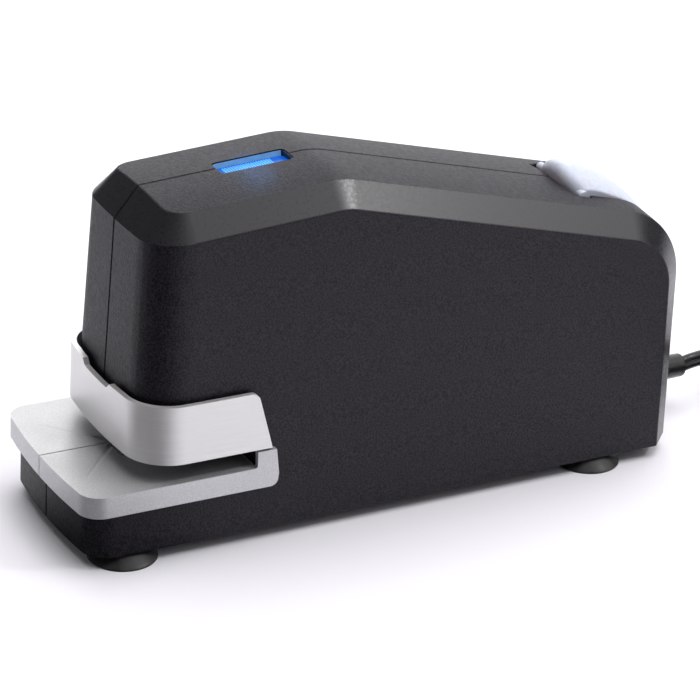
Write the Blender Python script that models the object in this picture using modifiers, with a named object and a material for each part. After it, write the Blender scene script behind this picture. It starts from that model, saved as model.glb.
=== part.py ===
"""Electric stapler: two housing halves round a solenoid driver, a magazine that slides out of the front,
a rear release button, suction feet and a mains cord.

The origin is under the middle of the body, on the table. X runs across (0 is the seam between the halves),
-Y is the front where the paper goes in, and +Z is up. Units are metres.
"""

import math

import bmesh
import bpy
from mathutils import Matrix, Vector

MM = 0.001
GAP = 0.3 * MM  # running and assembly clearance

# Body, outside
LENGTH = 205 * MM
HEIGHT = 110 * MM  # at the seam, over the kink
REAR = LENGTH / 2
FRONT = -LENGTH / 2
BASE_Z = 3.8 * MM  # underside of the base, above the table
SIDE_X = 30.4 * MM  # half width at the base
DRAFT = 0.0365  # how much each side leans in for its height
CROWN = 1.75 * MM  # rise of the top surface at the seam
BASE_BOW = 2.4 * MM  # how far the front of the base falls back at the sides
HEAD_BOW = 1.2 * MM
COLLAR_BOW = 3 * MM
CHAMFER = 7 * MM
CROWN_LOW = 60 * MM  # the crown starts at this height and is full after its run
CROWN_RUN = 25 * MM
CROWN_SKIN = 6 * MM  # and only acts this close to the top surface
BOW_START = -50 * MM  # the fronts start to bow here and bow fully after their run
BOW_RUN = 15 * MM
KINK_Y = -16.7 * MM  # where the two slopes of the top meet
REAR_SLOPE = -0.254
FRONT_SLOPE = 0.064
REAR_RADIUS = 24.5 * MM
KINK_RADIUS = 14 * MM
HEAD_Y = -82.8 * MM  # front of the head over the paper slot
HEAD_LEAN = 0.05
HEAD_RADIUS = 13 * MM  # upright corners of the head
BASE_RADIUS = 7 * MM  # upright corners of the base
WALL = 2.2 * MM
SEAM = GAP / 2

# Paper slot and its silver trim
TRIM_WALL = 1.8 * MM
TRIM_X = 32 * MM
DECK_Z = 22.8 * MM  # top of the base under the silver plate
PLATE_Z = 25.1 * MM  # paper rests here
PLATE = 2 * MM
SKIRT_Z = 18.3 * MM
HEAD_Z = 32.5 * MM  # underside of the head
THROAT_Y = -46.5 * MM
CHEEK_Z = 30.4 * MM
TRIM_REAR = -39.5 * MM
BASE_FRONT = FRONT + TRIM_WALL + 0.5 * MM

# Magazine and its collar
COLLAR_Y = -85.2 * MM
COLLAR_X = 32.2 * MM
COLLAR_RADIUS = 14.5 * MM
COLLAR_WALL = 1.7 * MM
COLLAR_LOW = 31.3 * MM
COLLAR_TOP = 49.5 * MM
NOTCH_WIDTH = 19.5 * MM
NOTCH_DEPTH = 1.8 * MM
NOTCH_REAR = -70 * MM
COLLAR_END_TOP = -46.8 * MM  # the collar's slanted ends, at the top and the bottom edge
COLLAR_END_LOW = -42 * MM
MAGAZINE_X = 8 * MM
MAGAZINE_LOW = 31.6 * MM
MAGAZINE_TOP = 43 * MM
MAGAZINE_REAR = 62 * MM
SHEET = 1 * MM  # pressed steel
CHANNEL_NOSE = 6 * MM  # how far the channel's hollow starts behind its front
EXIT_HALF = 0.8 * MM  # the slot that a staple is driven through
STAPLE_WIDTH = 12.7 * MM
STAPLE_LEG = 6.4 * MM
STRIP_FRONT = -75.2 * MM
STRIP_LENGTH = 52 * MM
RAIL_X = 4.6 * MM
RAIL_GROOVE = 1.6 * MM
PUSHER_LENGTH = 14 * MM
PUSHER_RISE = 2.6 * MM  # how far the pusher stands above the rail
PUSHER_SPRING_X = 3.4 * MM

# Driver and solenoid
BLADE_Y = -76.5 * MM
BLADE = 0.9 * MM
BLADE_X = 6 * MM
BLADE_LOW = 43.6 * MM
SOLENOID_Y = -53 * MM
FRAME_LOW = 46.8 * MM
FRAME_TOP = 75.5 * MM
FRAME_DEPTH = 34 * MM
FRAME_X = 13 * MM
FRAME_WALL = 3 * MM
CORE_RADIUS = 6.2 * MM
FLANGE_RADIUS = 13 * MM
FLANGE = 1.2 * MM
WOUND_RADIUS = 12.4 * MM
PLUNGER_RADIUS = 4.9 * MM
PLUNGER_LOW = 63 * MM
ARM_LOW = 92.6 * MM
ARM = 3.2 * MM

# Chassis and circuit
CHASSIS_X = 14 * MM
CHASSIS_FRONT = -72 * MM
CHASSIS_LOW = 44.9 * MM
CHASSIS = 1.5 * MM
CHASSIS_WINDOW_X = 7 * MM
CHASSIS_WINDOW_Y = (-28 * MM, 40 * MM)
BOARD_LOW = 50 * MM
BOARD_SHEET = 1.6 * MM
BOARD_X = 20 * MM
BOARD_FRONT = -12 * MM
CAPACITOR_RADIUS = 6 * MM
CAPACITOR_HEIGHT = 20 * MM
SINK_HEIGHT = 18 * MM
SINK_FINS = 3
FIN_PITCH = 4 * MM
FIN_GAP = 2.2 * MM
FUSE_RADIUS = 2.6 * MM
FUSE_LENGTH = 20 * MM
INDICATOR_LOW = 94.6 * MM
INDICATOR_SHEET = 1.2 * MM
LENS_LOW = 101.2 * MM

# Window, button and latch
WINDOW_Y = -35.9 * MM
WINDOW_LENGTH = 23 * MM
WINDOW_WIDTH = 7.8 * MM
WINDOW_RADIUS = 1.6 * MM
RECESS_Y = 66.8 * MM
RECESS_REAR = 95.5 * MM
BUTTON_X = 12 * MM
BUTTON_FRONT = 67.6 * MM
BUTTON_REAR = 94.6 * MM
BUTTON_ARC_Y = 59 * MM  # centre and radius of the arc along the button's back
BUTTON_ARC_Z = 43.7 * MM
BUTTON_ARC = 50.8 * MM
BUTTON_CROWN = 3.9 * MM
PIVOT_Y = 71.4 * MM
PIVOT_Z = 86.4 * MM
PIVOT_RADIUS = 2 * MM
ROD_Y = 84 * MM
ROD_LOW = 52 * MM
ROD_TOP = 78.3 * MM
ROD_HALF = 2 * MM
ROD_SLOPE = 0.65
LATCH_Y = 74 * MM
LATCH_Z = 48 * MM
LATCH_HALF = 3 * MM
LATCH_DEPTH = 3.2 * MM
LATCH_BORE = 1.2 * MM
AXLE_X = 26.2 * MM  # axles end just inside the housing's walls

# Feet, screws and paper lever
FOOT_RADIUS = 10.5 * MM
FOOT_X = 23 * MM
FOOT_Y = {"front": -85.5 * MM, "rear": 74 * MM}
STEM_RADIUS = 2.5 * MM
BARB_TOP = 7.6 * MM
SCREWS = [  # y and z of each, from the base up
    (-90 * MM, 12.5 * MM),
    (-30 * MM, 12.5 * MM),
    (86 * MM, 30 * MM),
    (50 * MM, 76 * MM),
    (-8 * MM, 97 * MM),
]
SCREW_RADIUS = 1.5 * MM
SCREW_TIP = 11.5 * MM  # right of the seam
HEAD_SINK = 2.7 * MM  # how far a screw's head sits in from the left side
SCREW_HEAD = 2.8 * MM
BOSS_RADIUS = 3.4 * MM
LEVER_X = 11.2 * MM
LEVER_Y = -48 * MM
LEVER_Z = 40 * MM
LEVER = 2 * MM  # thickness
SWITCH_LENGTH = 13 * MM
SWITCH_HEIGHT = 8 * MM

# Mains cord: a flat twin flex, 1.8 m, wound into a storage coil of nine turns
CORD = 5.4 * MM  # across its wide face
CORD_Z = 14 * MM
RELIEF_LENGTH = 20.5 * MM
RELIEF_RADIUS = 3.8 * MM
RELIEF_FLANGE = 5.4 * MM
RELIEF_INSIDE = 3 * MM  # the part that holds it behind the wall
COIL_X = 28 * MM
COIL_Y = 174 * MM
COIL_RADIUS = 30 * MM  # to the middle of its turns
COIL_LAYERS = 3
PLUG_LENGTH = 24 * MM
PLUG_HEIGHT = 11 * MM
PLUG_HALF = 9 * MM
PLUG_NECK = 6 * MM
BLADE_PITCH = 12.7 * MM
PIN_WIDTH = 6.3 * MM
PIN_THICK = 1.5 * MM
PIN_LENGTH = 16 * MM
ROUTE = [  # millimetres, from the strain relief to where the lead runs alongside the coil
    (0, 123.6, 14),
    (-0.4, 129, 14.6),
    (-1.9, 137, 13.9),
    (-5, 145.5, 10.2),
    (-9.2, 154, 5.9),
    (-12.3, 163, 3.4),
    (-13.5, 172, 2.9),
    (-13.5, 178, 2.9),
]


def clear_scene():
    """Remove what the start-up file holds."""
    for obj in list(bpy.data.objects):
        bpy.data.objects.remove(obj, do_unlink=True)


def collection(name):
    """A new collection in the scene."""
    made = bpy.data.collections.new(name)
    bpy.context.scene.collection.children.link(made)
    return made


def material(name, colour, roughness, metallic=0.0):
    """A Principled material of one colour."""
    made = bpy.data.materials.new(name)
    made.use_nodes = True
    shader = made.node_tree.nodes["Principled BSDF"]
    shader.inputs["Base Color"].default_value = (*colour, 1)
    shader.inputs["Roughness"].default_value = roughness
    shader.inputs["Metallic"].default_value = metallic
    return made


clear_scene()
PARTS = collection("electric_stapler")
CUTTERS = collection("cutters")
BLACK = material("black_plastic", (0.035, 0.033, 0.04), 0.55)
SILVER = material("silver_finish", (0.62, 0.62, 0.64), 0.35, 0.8)
BUTTON = material("button_plastic", (0.62, 0.66, 0.75), 0.4)
LENS = material("blue_lens", (0.05, 0.3, 0.9), 0.15)
RUBBER = material("foot_rubber", (0.03, 0.03, 0.03), 0.7)
STEEL = material("bright_steel", (0.6, 0.6, 0.6), 0.3, 1.0)
ZINC = material("zinc_plate", (0.5, 0.5, 0.47), 0.4, 1.0)
COPPER = material("enamelled_copper", (0.6, 0.25, 0.1), 0.3, 0.9)
NYLON = material("nylon", (0.75, 0.73, 0.66), 0.5)
BOARD = material("circuit_board", (0.05, 0.25, 0.1), 0.5)
CABLE = material("cord_pvc", (0.02, 0.02, 0.02), 0.4)
COMPONENT = material("component", (0.1, 0.1, 0.35), 0.45)


def keep(obj, finish, smooth_angle=30):
    """Put a sub-part in the object's collection with its material and smooth rounds."""
    for holder in obj.users_collection:
        holder.objects.unlink(obj)
    PARTS.objects.link(obj)
    obj.data.materials.clear()
    obj.data.materials.append(finish)
    obj.data.shade_smooth()
    obj.data.set_sharp_from_angle(angle=math.radians(smooth_angle))
    return obj


def cutter(obj):
    """Put a shape that only cuts or joins in the other collection."""
    for holder in obj.users_collection:
        holder.objects.unlink(obj)
    CUTTERS.objects.link(obj)
    obj.hide_render = True
    obj.display_type = "WIRE"
    return obj


def boolean(target, tool, operation="DIFFERENCE"):
    """Cut a tool from a target, or join it on."""
    modifier = target.modifiers.new(tool.name, "BOOLEAN")
    modifier.operation = operation
    modifier.solver = "EXACT"
    modifier.object = tool
    return target


def from_bmesh(name, bm):
    """An object of a bmesh's faces, turned outwards."""
    bmesh.ops.recalc_face_normals(bm, faces=bm.faces)
    mesh = bpy.data.meshes.new(name)
    bm.to_mesh(mesh)
    bm.free()
    obj = bpy.data.objects.new(name, mesh)
    bpy.context.scene.collection.objects.link(obj)
    return obj


def block(name, low, high, bevel=0.0):
    """A box between two corners, its edges eased by a bevel."""
    low, high = Vector(low), Vector(high)
    bm = bmesh.new()
    bmesh.ops.create_cube(bm, size=1)
    bmesh.ops.scale(bm, vec=high - low, verts=bm.verts)
    if bevel:
        bmesh.ops.bevel(bm, geom=bm.edges, offset=bevel, segments=1, profile=0.5, affect="EDGES", material=-1)
    obj = from_bmesh(name, bm)
    obj.location = (low + high) / 2
    return obj


def rod(name, start, end, radius, end_radius=None, sides=24):
    """A cylinder, or a cone, between two points."""
    start, end = Vector(start), Vector(end)
    run = end - start
    bm = bmesh.new()
    bmesh.ops.create_cone(
        bm,
        cap_ends=True,
        segments=sides,
        radius1=radius,
        radius2=radius if end_radius is None else end_radius,
        depth=run.length,
    )
    obj = from_bmesh(name, bm)
    obj.rotation_euler = run.to_track_quat("Z", "Y").to_euler()
    obj.location = (start + end) / 2
    return obj


def rounded(corners, step=math.radians(15)):
    """The outline through corners (a, b, radius), each rounded by an arc of its own radius."""
    outline = []
    for i, (a, b, radius) in enumerate(corners):
        here = Vector((a, b))
        if not radius:
            outline.append((a, b))
            continue
        back = (Vector(corners[i - 1][:2]) - here).normalized()
        ahead = (Vector(corners[(i + 1) % len(corners)][:2]) - here).normalized()
        half = back.angle(ahead) / 2
        centre = here + (back + ahead).normalized() * (radius / math.sin(half))
        start = here + back * (radius / math.tan(half)) - centre
        end = here + ahead * (radius / math.tan(half)) - centre
        turn = start.angle_signed(end)
        count = max(2, math.ceil(abs(turn) / step))
        for k in range(count + 1):
            point = centre + Matrix.Rotation(-turn * k / count, 2) @ start
            outline.append((point.x, point.y))
    return outline


PLANES = {  # an outline's first axis, second axis and the axis it is extruded along
    "X": Matrix(((0, 0, 1, 0), (1, 0, 0, 0), (0, 1, 0, 0), (0, 0, 0, 1))),
    "Z": Matrix.Identity(4),
}


def prism(name, outline, axis, low, high):
    """A flat outline, (y, z) along X or (x, y) along Z, extruded from low to high and made a welded mesh."""
    curve = bpy.data.curves.new(name, "CURVE")
    curve.dimensions = "2D"
    curve.fill_mode = "BOTH"
    curve.extrude = (high - low) / 2
    spline = curve.splines.new("POLY")
    spline.points.add(len(outline) - 1)
    for point, (a, b) in zip(spline.points, outline):
        point.co = (a, b, 0, 1)
    spline.use_cyclic_u = True
    source = bpy.data.objects.new(name, curve)
    bpy.context.scene.collection.objects.link(source)
    source.matrix_world = PLANES[axis] @ Matrix.Translation((0, 0, (low + high) / 2))
    return welded(source, name)


def welded(source, name):
    """A mesh object of a curve, its loose caps welded, that takes the curve's place."""
    graph = bpy.context.evaluated_depsgraph_get()
    mesh = bpy.data.meshes.new_from_object(source.evaluated_get(graph))
    bm = bmesh.new()
    bm.from_mesh(mesh)
    bmesh.ops.remove_doubles(bm, verts=bm.verts, dist=0.001 * MM)
    bmesh.ops.recalc_face_normals(bm, faces=bm.faces)
    bm.to_mesh(mesh)
    bm.free()
    place = source.matrix_world.copy()
    bpy.data.objects.remove(source)
    obj = bpy.data.objects.new(name, mesh)
    obj.matrix_world = place
    bpy.context.scene.collection.objects.link(obj)
    return obj


def tube(name, points, radius, resolution=2):
    """A round wire through points, with its ends closed."""
    curve = bpy.data.curves.new(name, "CURVE")
    curve.dimensions = "3D"
    curve.bevel_depth = radius
    curve.bevel_resolution = resolution
    curve.use_fill_caps = True
    spline = curve.splines.new("POLY")
    spline.points.add(len(points) - 1)
    for point, place in zip(spline.points, points):
        point.co = (*place, 1)
    source = bpy.data.objects.new(name, curve)
    bpy.context.scene.collection.objects.link(source)
    return welded(source, name)


def turned(name, profile, place, turn=None, steps=32):
    """A lathe shape: (radius, height) from top to bottom down its outer side, spun about Z."""
    bm = bmesh.new()
    points = [bm.verts.new((radius, 0, height)) for radius, height in profile]
    for a, b in zip(points, points[1:]):
        bm.edges.new((a, b))
    mesh = bpy.data.meshes.new(name)
    bm.to_mesh(mesh)
    bm.free()
    obj = bpy.data.objects.new(name, mesh)
    bpy.context.scene.collection.objects.link(obj)
    screw = obj.modifiers.new("turn", "SCREW")
    screw.steps = steps
    screw.render_steps = steps
    screw.use_merge_vertices = True
    screw.merge_threshold = 0.001 * MM
    obj.location = place
    if turn:
        obj.rotation_euler = turn
    return obj


def spring(name, start, end, radius, wire, turns):
    """A coil spring between two points, along their line."""
    start, end = Vector(start), Vector(end)
    run = end - start
    frame = run.to_track_quat("Z", "Y")
    per_turn = 10
    count = int(turns * per_turn)
    points = []
    for i in range(count + 1):
        angle = math.tau * i / per_turn
        climb = wire + (run.length - 2 * wire) * i / count
        offset = Vector((radius * math.cos(angle), radius * math.sin(angle), climb))
        points.append(start + frame @ offset)
    return tube(name, points, wire, 1)


def carried_by(name, place, pieces):
    """An empty on a joint's axis that carries its pieces."""
    empty = bpy.data.objects.new(name, None)
    empty.empty_display_size = 5 * MM
    empty.location = place
    PARTS.objects.link(empty)
    bpy.context.view_layer.update()
    for piece in pieces:
        piece.parent = empty
        piece.matrix_parent_inverse = empty.matrix_world.inverted()


def top_z(y):
    """Height of the top surface at its edge, over the length."""
    kink_z = HEIGHT - CROWN
    slope = REAR_SLOPE if y > KINK_Y else FRONT_SLOPE
    return kink_z + slope * (y - KINK_Y)


def side_x(z):
    """Half width of the housing at a height."""
    return SIDE_X - DRAFT * (z - BASE_Z)


def head_y(z):
    """Front of the head at a height: it leans back."""
    return HEAD_Y + HEAD_LEAN * (z - HEAD_Z)


def housing_corners():
    """Side profile of the housing, from the lower rear up, over the top and round the paper slot."""
    head_top = top_z(head_y(HEIGHT))
    return [
        (REAR, BASE_Z, 0),
        (REAR, top_z(REAR), REAR_RADIUS),
        (KINK_Y, top_z(KINK_Y), KINK_RADIUS),
        (head_y(head_top), top_z(head_y(head_top)), 0),
        (HEAD_Y, HEAD_Z, 0),
        (THROAT_Y, HEAD_Z, 1.5 * MM),
        (THROAT_Y, DECK_Z, 0),
        (BASE_FRONT, DECK_Z, 0),
        (BASE_FRONT, BASE_Z, 0),
    ]


def unit(share):
    """A share kept between 0 and 1."""
    return min(max(share, 0), 1)


def warp(vert):
    """Lean the sides in, crown the top and bow the fronts."""
    x, y, z = vert.co
    edge = SIDE_X - CHAMFER
    rise = unit((z - CROWN_LOW) / CROWN_RUN)
    skin = unit((z - top_z(y) + CHAMFER) / CROWN_SKIN)
    fall = max(0, 1 - (x / edge) ** 2)
    ahead = unit((BOW_START - y) / BOW_RUN)
    vert.co.z += CROWN * fall * rise * skin
    bow = BASE_BOW if z < DECK_Z + MM else HEAD_BOW
    vert.co.y += bow * (x / SIDE_X) ** 2 * ahead
    vert.co.x = SEAM + (x - SEAM) * side_x(z) / SIDE_X


def on_band(vert):
    """Whether a vertex lies on the rear face, the rear corner or the top surface."""
    y, z = vert.co.y, vert.co.z
    corner_z = top_z(REAR)
    near_corner = y > REAR - REAR_RADIUS * 1.2 and z > corner_z - REAR_RADIUS
    near_kink = abs(y - KINK_Y) < KINK_RADIUS and z > top_z(y) - MM
    return abs(y - REAR) < 0.01 * MM or near_corner or near_kink or abs(z - top_z(y)) < 0.05 * MM


def bevel_edges(bm, edges, offset, segments):
    """Round or chamfer some edges."""
    bmesh.ops.bevel(
        bm,
        geom=edges,
        offset=offset,
        offset_type="OFFSET",
        segments=segments,
        profile=0.5,
        affect="EDGES",
        clamp_overlap=False,
        material=-1,
    )


def housing_half(name, side):
    """One half shell, open at the seam: side is 1 for the right, -1 for the left."""
    bm = bmesh.new()
    ring = [bm.verts.new((SEAM, y, z)) for y, z in rounded(housing_corners(), math.radians(9))]
    edges = [bm.edges.new(pair) for pair in zip(ring, ring[1:] + ring[:1])]
    grown = bmesh.ops.extrude_edge_only(bm, edges=edges)["geom"]
    outer = [item for item in grown if isinstance(item, bmesh.types.BMVert)]
    bmesh.ops.translate(bm, verts=outer, vec=(SIDE_X - SEAM, 0, 0))
    rim = [e for e in bm.edges if all(v.co.x > SIDE_X / 2 for v in e.verts)]
    bmesh.ops.edgeloop_fill(bm, edges=rim)
    bmesh.ops.recalc_face_normals(bm, faces=bm.faces)

    upright = []
    for edge in rim:
        low, high = sorted(v.co.z for v in edge.verts)
        if high - low > 2 * CHAMFER and edge.verts[0].co.y < THROAT_Y:
            upright.append(edge)
    for radius, edge in zip((BASE_RADIUS, HEAD_RADIUS), sorted(upright, key=lambda e: e.verts[0].co.z)):
        bevel_edges(bm, [edge], radius, 6)

    band = {f for f in bm.faces if all(on_band(v) for v in f.verts)}
    rim = []
    for edge in bm.edges:
        low = max(v.co.z for v in edge.verts) < BASE_Z + MM
        if len(edge.link_faces) == 2 and not low and sum(f in band for f in edge.link_faces) == 1:
            rim.append(edge)
    bevel_edges(bm, rim, CHAMFER, 1)

    for x in (7 * MM, 14 * MM):
        geometry = list(bm.verts) + list(bm.edges) + list(bm.faces)
        bmesh.ops.bisect_plane(bm, geom=geometry, dist=0.001 * MM, plane_co=(x, 0, 0), plane_no=(1, 0, 0))
    for vert in bm.verts:
        warp(vert)
    bmesh.ops.recalc_face_normals(bm, faces=bm.faces)
    if max(bm.faces, key=lambda f: f.calc_area()).normal.x < 0:
        bmesh.ops.reverse_faces(bm, faces=bm.faces)
    if side < 0:
        bmesh.ops.scale(bm, vec=(-1, 1, 1), verts=bm.verts)
        bmesh.ops.reverse_faces(bm, faces=bm.faces)
    mesh = bpy.data.meshes.new(name)
    bm.to_mesh(mesh)
    bm.free()
    obj = bpy.data.objects.new(name, mesh)
    bpy.context.scene.collection.objects.link(obj)
    shell = obj.modifiers.new("wall", "SOLIDIFY")
    shell.thickness = WALL
    shell.offset = -1
    shell.use_even_offset = True
    return keep(obj, BLACK)


def open_housing(right, left):
    """Cut the tunnel, window, recess, cord hole, lever slot and foot holes, and add screw bosses."""
    reach = 60 * MM
    tunnel_x = MAGAZINE_X + 0.7 * MM
    shared = [
        block(
            "tunnel_cut",
            (-tunnel_x, -reach * 2, HEAD_Z - 2 * MM),
            (tunnel_x, THROAT_Y + 6.5 * MM, MAGAZINE_TOP + MM),
        ),
        prism("window_cut", window_outline(GAP), "Z", 95 * MM, 115 * MM),
        block(
            "recess_cut",
            (-BUTTON_X - 0.8 * MM, RECESS_Y, 68 * MM),
            (BUTTON_X + 0.8 * MM, RECESS_REAR, 105 * MM),
        ),
        rod(
            "pivot_cut",
            (-BUTTON_X - 2.4 * MM, PIVOT_Y, PIVOT_Z),
            (BUTTON_X + 2.4 * MM, PIVOT_Y, PIVOT_Z),
            PIVOT_RADIUS + 0.5 * MM,
        ),
        rod("cord_cut", (0, REAR - 6 * MM, CORD_Z), (0, REAR + 6 * MM, CORD_Z), 4.2 * MM),
    ]
    for tool in shared:
        cutter(tool)
    for half, side in ((right, 1), (left, -1)):
        for i, (y, z) in enumerate(SCREWS):
            start = (side * SEAM, y, z)
            end = (side * (side_x(z) - MM), y, z)
            boss = rod(f"boss_{half.name}_{i}", start, end, BOSS_RADIUS, sides=16)
            boolean(half, cutter(boss), "UNION")
        for tool in shared:
            boolean(half, tool)
        for end, y in FOOT_Y.items():
            place = (side * FOOT_X, y, 0)
            above = (side * FOOT_X, y, 2 * BASE_Z)
            hole = rod(f"foot_cut_{half.name}_{end}", place, above, STEM_RADIUS + GAP, sides=16)
            boolean(half, cutter(hole))
        for i, (y, z) in enumerate(SCREWS):
            end = (SCREW_TIP + 1.1 * MM if side > 0 else -reach, y, z)
            shank = rod(f"screw_cut_{half.name}_{i}", (0, y, z), end, SCREW_RADIUS + GAP, sides=16)
            boolean(half, cutter(shank))
    for i, (y, z) in enumerate(SCREWS):
        seat = (HEAD_SINK - 0.1 * MM - side_x(z), y, z)
        pocket = rod(f"screw_pocket_{i}", (-reach, y, z), seat, SCREW_HEAD + 0.5 * MM, sides=20)
        boolean(left, cutter(pocket))
    slot = block(
        "lever_cut",
        (LEVER_X - 1.7 * MM, LEVER_Y - 8 * MM, HEAD_Z - 2 * MM),
        (LEVER_X + 1.7 * MM, LEVER_Y + 4.6 * MM, LEVER_Z - MM),
    )
    boolean(right, cutter(slot))


def window_outline(grow):
    """Round-cornered outline of the indicator window, grown by a clearance."""
    x = WINDOW_WIDTH / 2 + grow
    y = WINDOW_LENGTH / 2 + grow
    radius = WINDOW_RADIUS
    corners = [(x, y), (-x, y), (-x, -y), (x, -y)]
    return rounded([(a, WINDOW_Y + b, radius) for a, b in corners])


def plan_outline(front, half_width, radius, rear, bow):
    """Half of a plan outline, from the seam to the rear of the side: a bowed front and a round corner."""
    turn = half_width - radius
    points = [(SEAM, front)]
    for share in (0.35, 0.7, 1):
        points.append((turn * share, front + bow * (turn * share / half_width) ** 2))
    corner_y = front + bow * (turn / half_width) ** 2
    for k in range(1, 7):
        angle = math.radians(90) * k / 6
        points.append((turn + radius * math.sin(angle), corner_y + radius * (1 - math.cos(angle))))
    points.append((half_width, rear))
    return points


def open_surface(path, low, high):
    """A bmesh wall that stands on a path of (x, y) points between two heights."""
    bm = bmesh.new()
    foot = [bm.verts.new((x, y, low)) for x, y in path]
    edges = [bm.edges.new(pair) for pair in zip(foot, foot[1:])]
    grown = bmesh.ops.extrude_edge_only(bm, edges=edges)["geom"]
    upper = [item for item in grown if isinstance(item, bmesh.types.BMVert)]
    bmesh.ops.translate(bm, verts=upper, vec=(0, 0, high - low))
    return bm


def base_trim(name, side):
    """Silver cover on the base under the paper: plate, skirt and a cheek that closes the slot's rear end."""
    reach = 60 * MM
    outer = plan_outline(FRONT, TRIM_X, BASE_RADIUS, TRIM_REAR, BASE_BOW) + [(SEAM, TRIM_REAR)]
    shape = prism(name, [(side * x, y) for x, y in outer], "Z", SKIRT_Z, CHEEK_Z)
    side_wall = TRIM_X - TRIM_WALL
    radius = BASE_RADIUS - TRIM_WALL / 2
    inner = plan_outline(FRONT + TRIM_WALL, side_wall, radius, TRIM_REAR + reach, BASE_BOW)
    hollow = [(side * x, y) for x, y in [(-MM, FRONT + TRIM_WALL), *inner, (-MM, TRIM_REAR + reach)]]
    boolean(shape, cutter(prism(f"{name}_hollow", hollow, "Z", SKIRT_Z - reach, PLATE_Z - PLATE)))
    slot = rounded(
        [
            (FRONT - reach, PLATE_Z, 0),
            (THROAT_Y, PLATE_Z, MM),
            (THROAT_Y - 0.8 * MM, CHEEK_Z + reach, 0),
            (FRONT - reach, CHEEK_Z + reach, 0),
        ]
    )
    boolean(shape, cutter(prism(f"{name}_slot", slot, "X", -reach, reach)))
    behind = sorted((-side * MM, side * side_wall))
    between = block(
        f"{name}_between",
        (behind[0], THROAT_Y - GAP, PLATE_Z - PLATE - MM),
        (behind[1], reach, reach),
    )
    boolean(shape, cutter(between))
    corner = rounded(
        [
            (TRIM_REAR + 5 * MM, SKIRT_Z - 5 * MM, 0),
            (TRIM_REAR + 5 * MM, CHEEK_Z + 5 * MM, 0),
            (TRIM_REAR - 1.6 * MM, CHEEK_Z + 5 * MM, 0),
            (TRIM_REAR, SKIRT_Z + 4 * MM, 0),
            (TRIM_REAR - 0.4 * MM, SKIRT_Z, 2.5 * MM),
            (TRIM_REAR - 6 * MM, SKIRT_Z, 0),
            (TRIM_REAR - 6 * MM, SKIRT_Z - 5 * MM, 0),
        ]
    )
    boolean(shape, cutter(prism(f"{name}_corner", corner, "X", -reach, reach)))
    pocket = block(
        f"{name}_anvil_cut",
        (-9.3 * MM, BLADE_Y - 3.8 * MM, PLATE_Z - 3 * MM),
        (9.3 * MM, BLADE_Y + 3.8 * MM, PLATE_Z + MM),
    )
    boolean(shape, cutter(pocket))
    return keep(shape, SILVER)


def anvil():
    """Steel anvil in the plate, with two grooves that turn the staple's legs."""
    shape = block(
        "anvil",
        (-9 * MM, BLADE_Y - 3.5 * MM, DECK_Z + GAP),
        (9 * MM, BLADE_Y + 3.5 * MM, PLATE_Z + 0.2 * MM),
        0.3 * MM,
    )
    for side in (-1, 1):
        groove = block(
            f"anvil_groove_{side}",
            (min(side * 1.4 * MM, side * 6.8 * MM), BLADE_Y - 0.9 * MM, PLATE_Z - 0.5 * MM),
            (max(side * 1.4 * MM, side * 6.8 * MM), BLADE_Y + 0.9 * MM, PLATE_Z + MM),
        )
        boolean(shape, cutter(groove))
    return keep(shape, STEEL)


def collar():
    """Silver front of the magazine: a band that wraps the head's front, with slanted ends and a top notch."""
    path = plan_outline(COLLAR_Y, COLLAR_X, COLLAR_RADIUS, -38 * MM, COLLAR_BOW)
    left = [(-x, y) for x, y in path[:0:-1]]
    bm = open_surface(left + path[1:], COLLAR_LOW, COLLAR_TOP)
    for vert in bm.verts:
        vert.co.x *= 1 - DRAFT * (vert.co.z - COLLAR_LOW) / COLLAR_X
    shape = from_bmesh("magazine_collar", bm)
    front_face = min(shape.data.polygons, key=lambda f: f.center.y)
    wall = shape.modifiers.new("wall", "SOLIDIFY")
    wall.thickness = COLLAR_WALL
    wall.offset = -1 if front_face.normal.y < 0 else 1
    wall.use_even_offset = True
    reach = 45 * MM
    end = prism(
        "collar_end_cut",
        rounded(
            [
                (-20 * MM, COLLAR_LOW - 5 * MM, 0),
                (-20 * MM, COLLAR_TOP + 5 * MM, 0),
                (-52 * MM, COLLAR_TOP + 5 * MM, 0),
                (-52 * MM, COLLAR_TOP, 0),
                (COLLAR_END_TOP, COLLAR_TOP, 3 * MM),
                (COLLAR_END_LOW, COLLAR_LOW, 0),
                (COLLAR_END_LOW + MM, COLLAR_LOW - 5 * MM, 0),
            ]
        ),
        "X",
        -reach,
        reach,
    )
    boolean(shape, cutter(end))
    notch_x = NOTCH_WIDTH / 2 - NOTCH_DEPTH
    notch = block(
        "collar_notch_cut",
        (-notch_x, -reach * 2, COLLAR_TOP - NOTCH_DEPTH),
        (notch_x, NOTCH_REAR, COLLAR_TOP + 5 * MM),
    )
    boolean(shape, cutter(notch))
    return keep(shape, SILVER)


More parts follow.
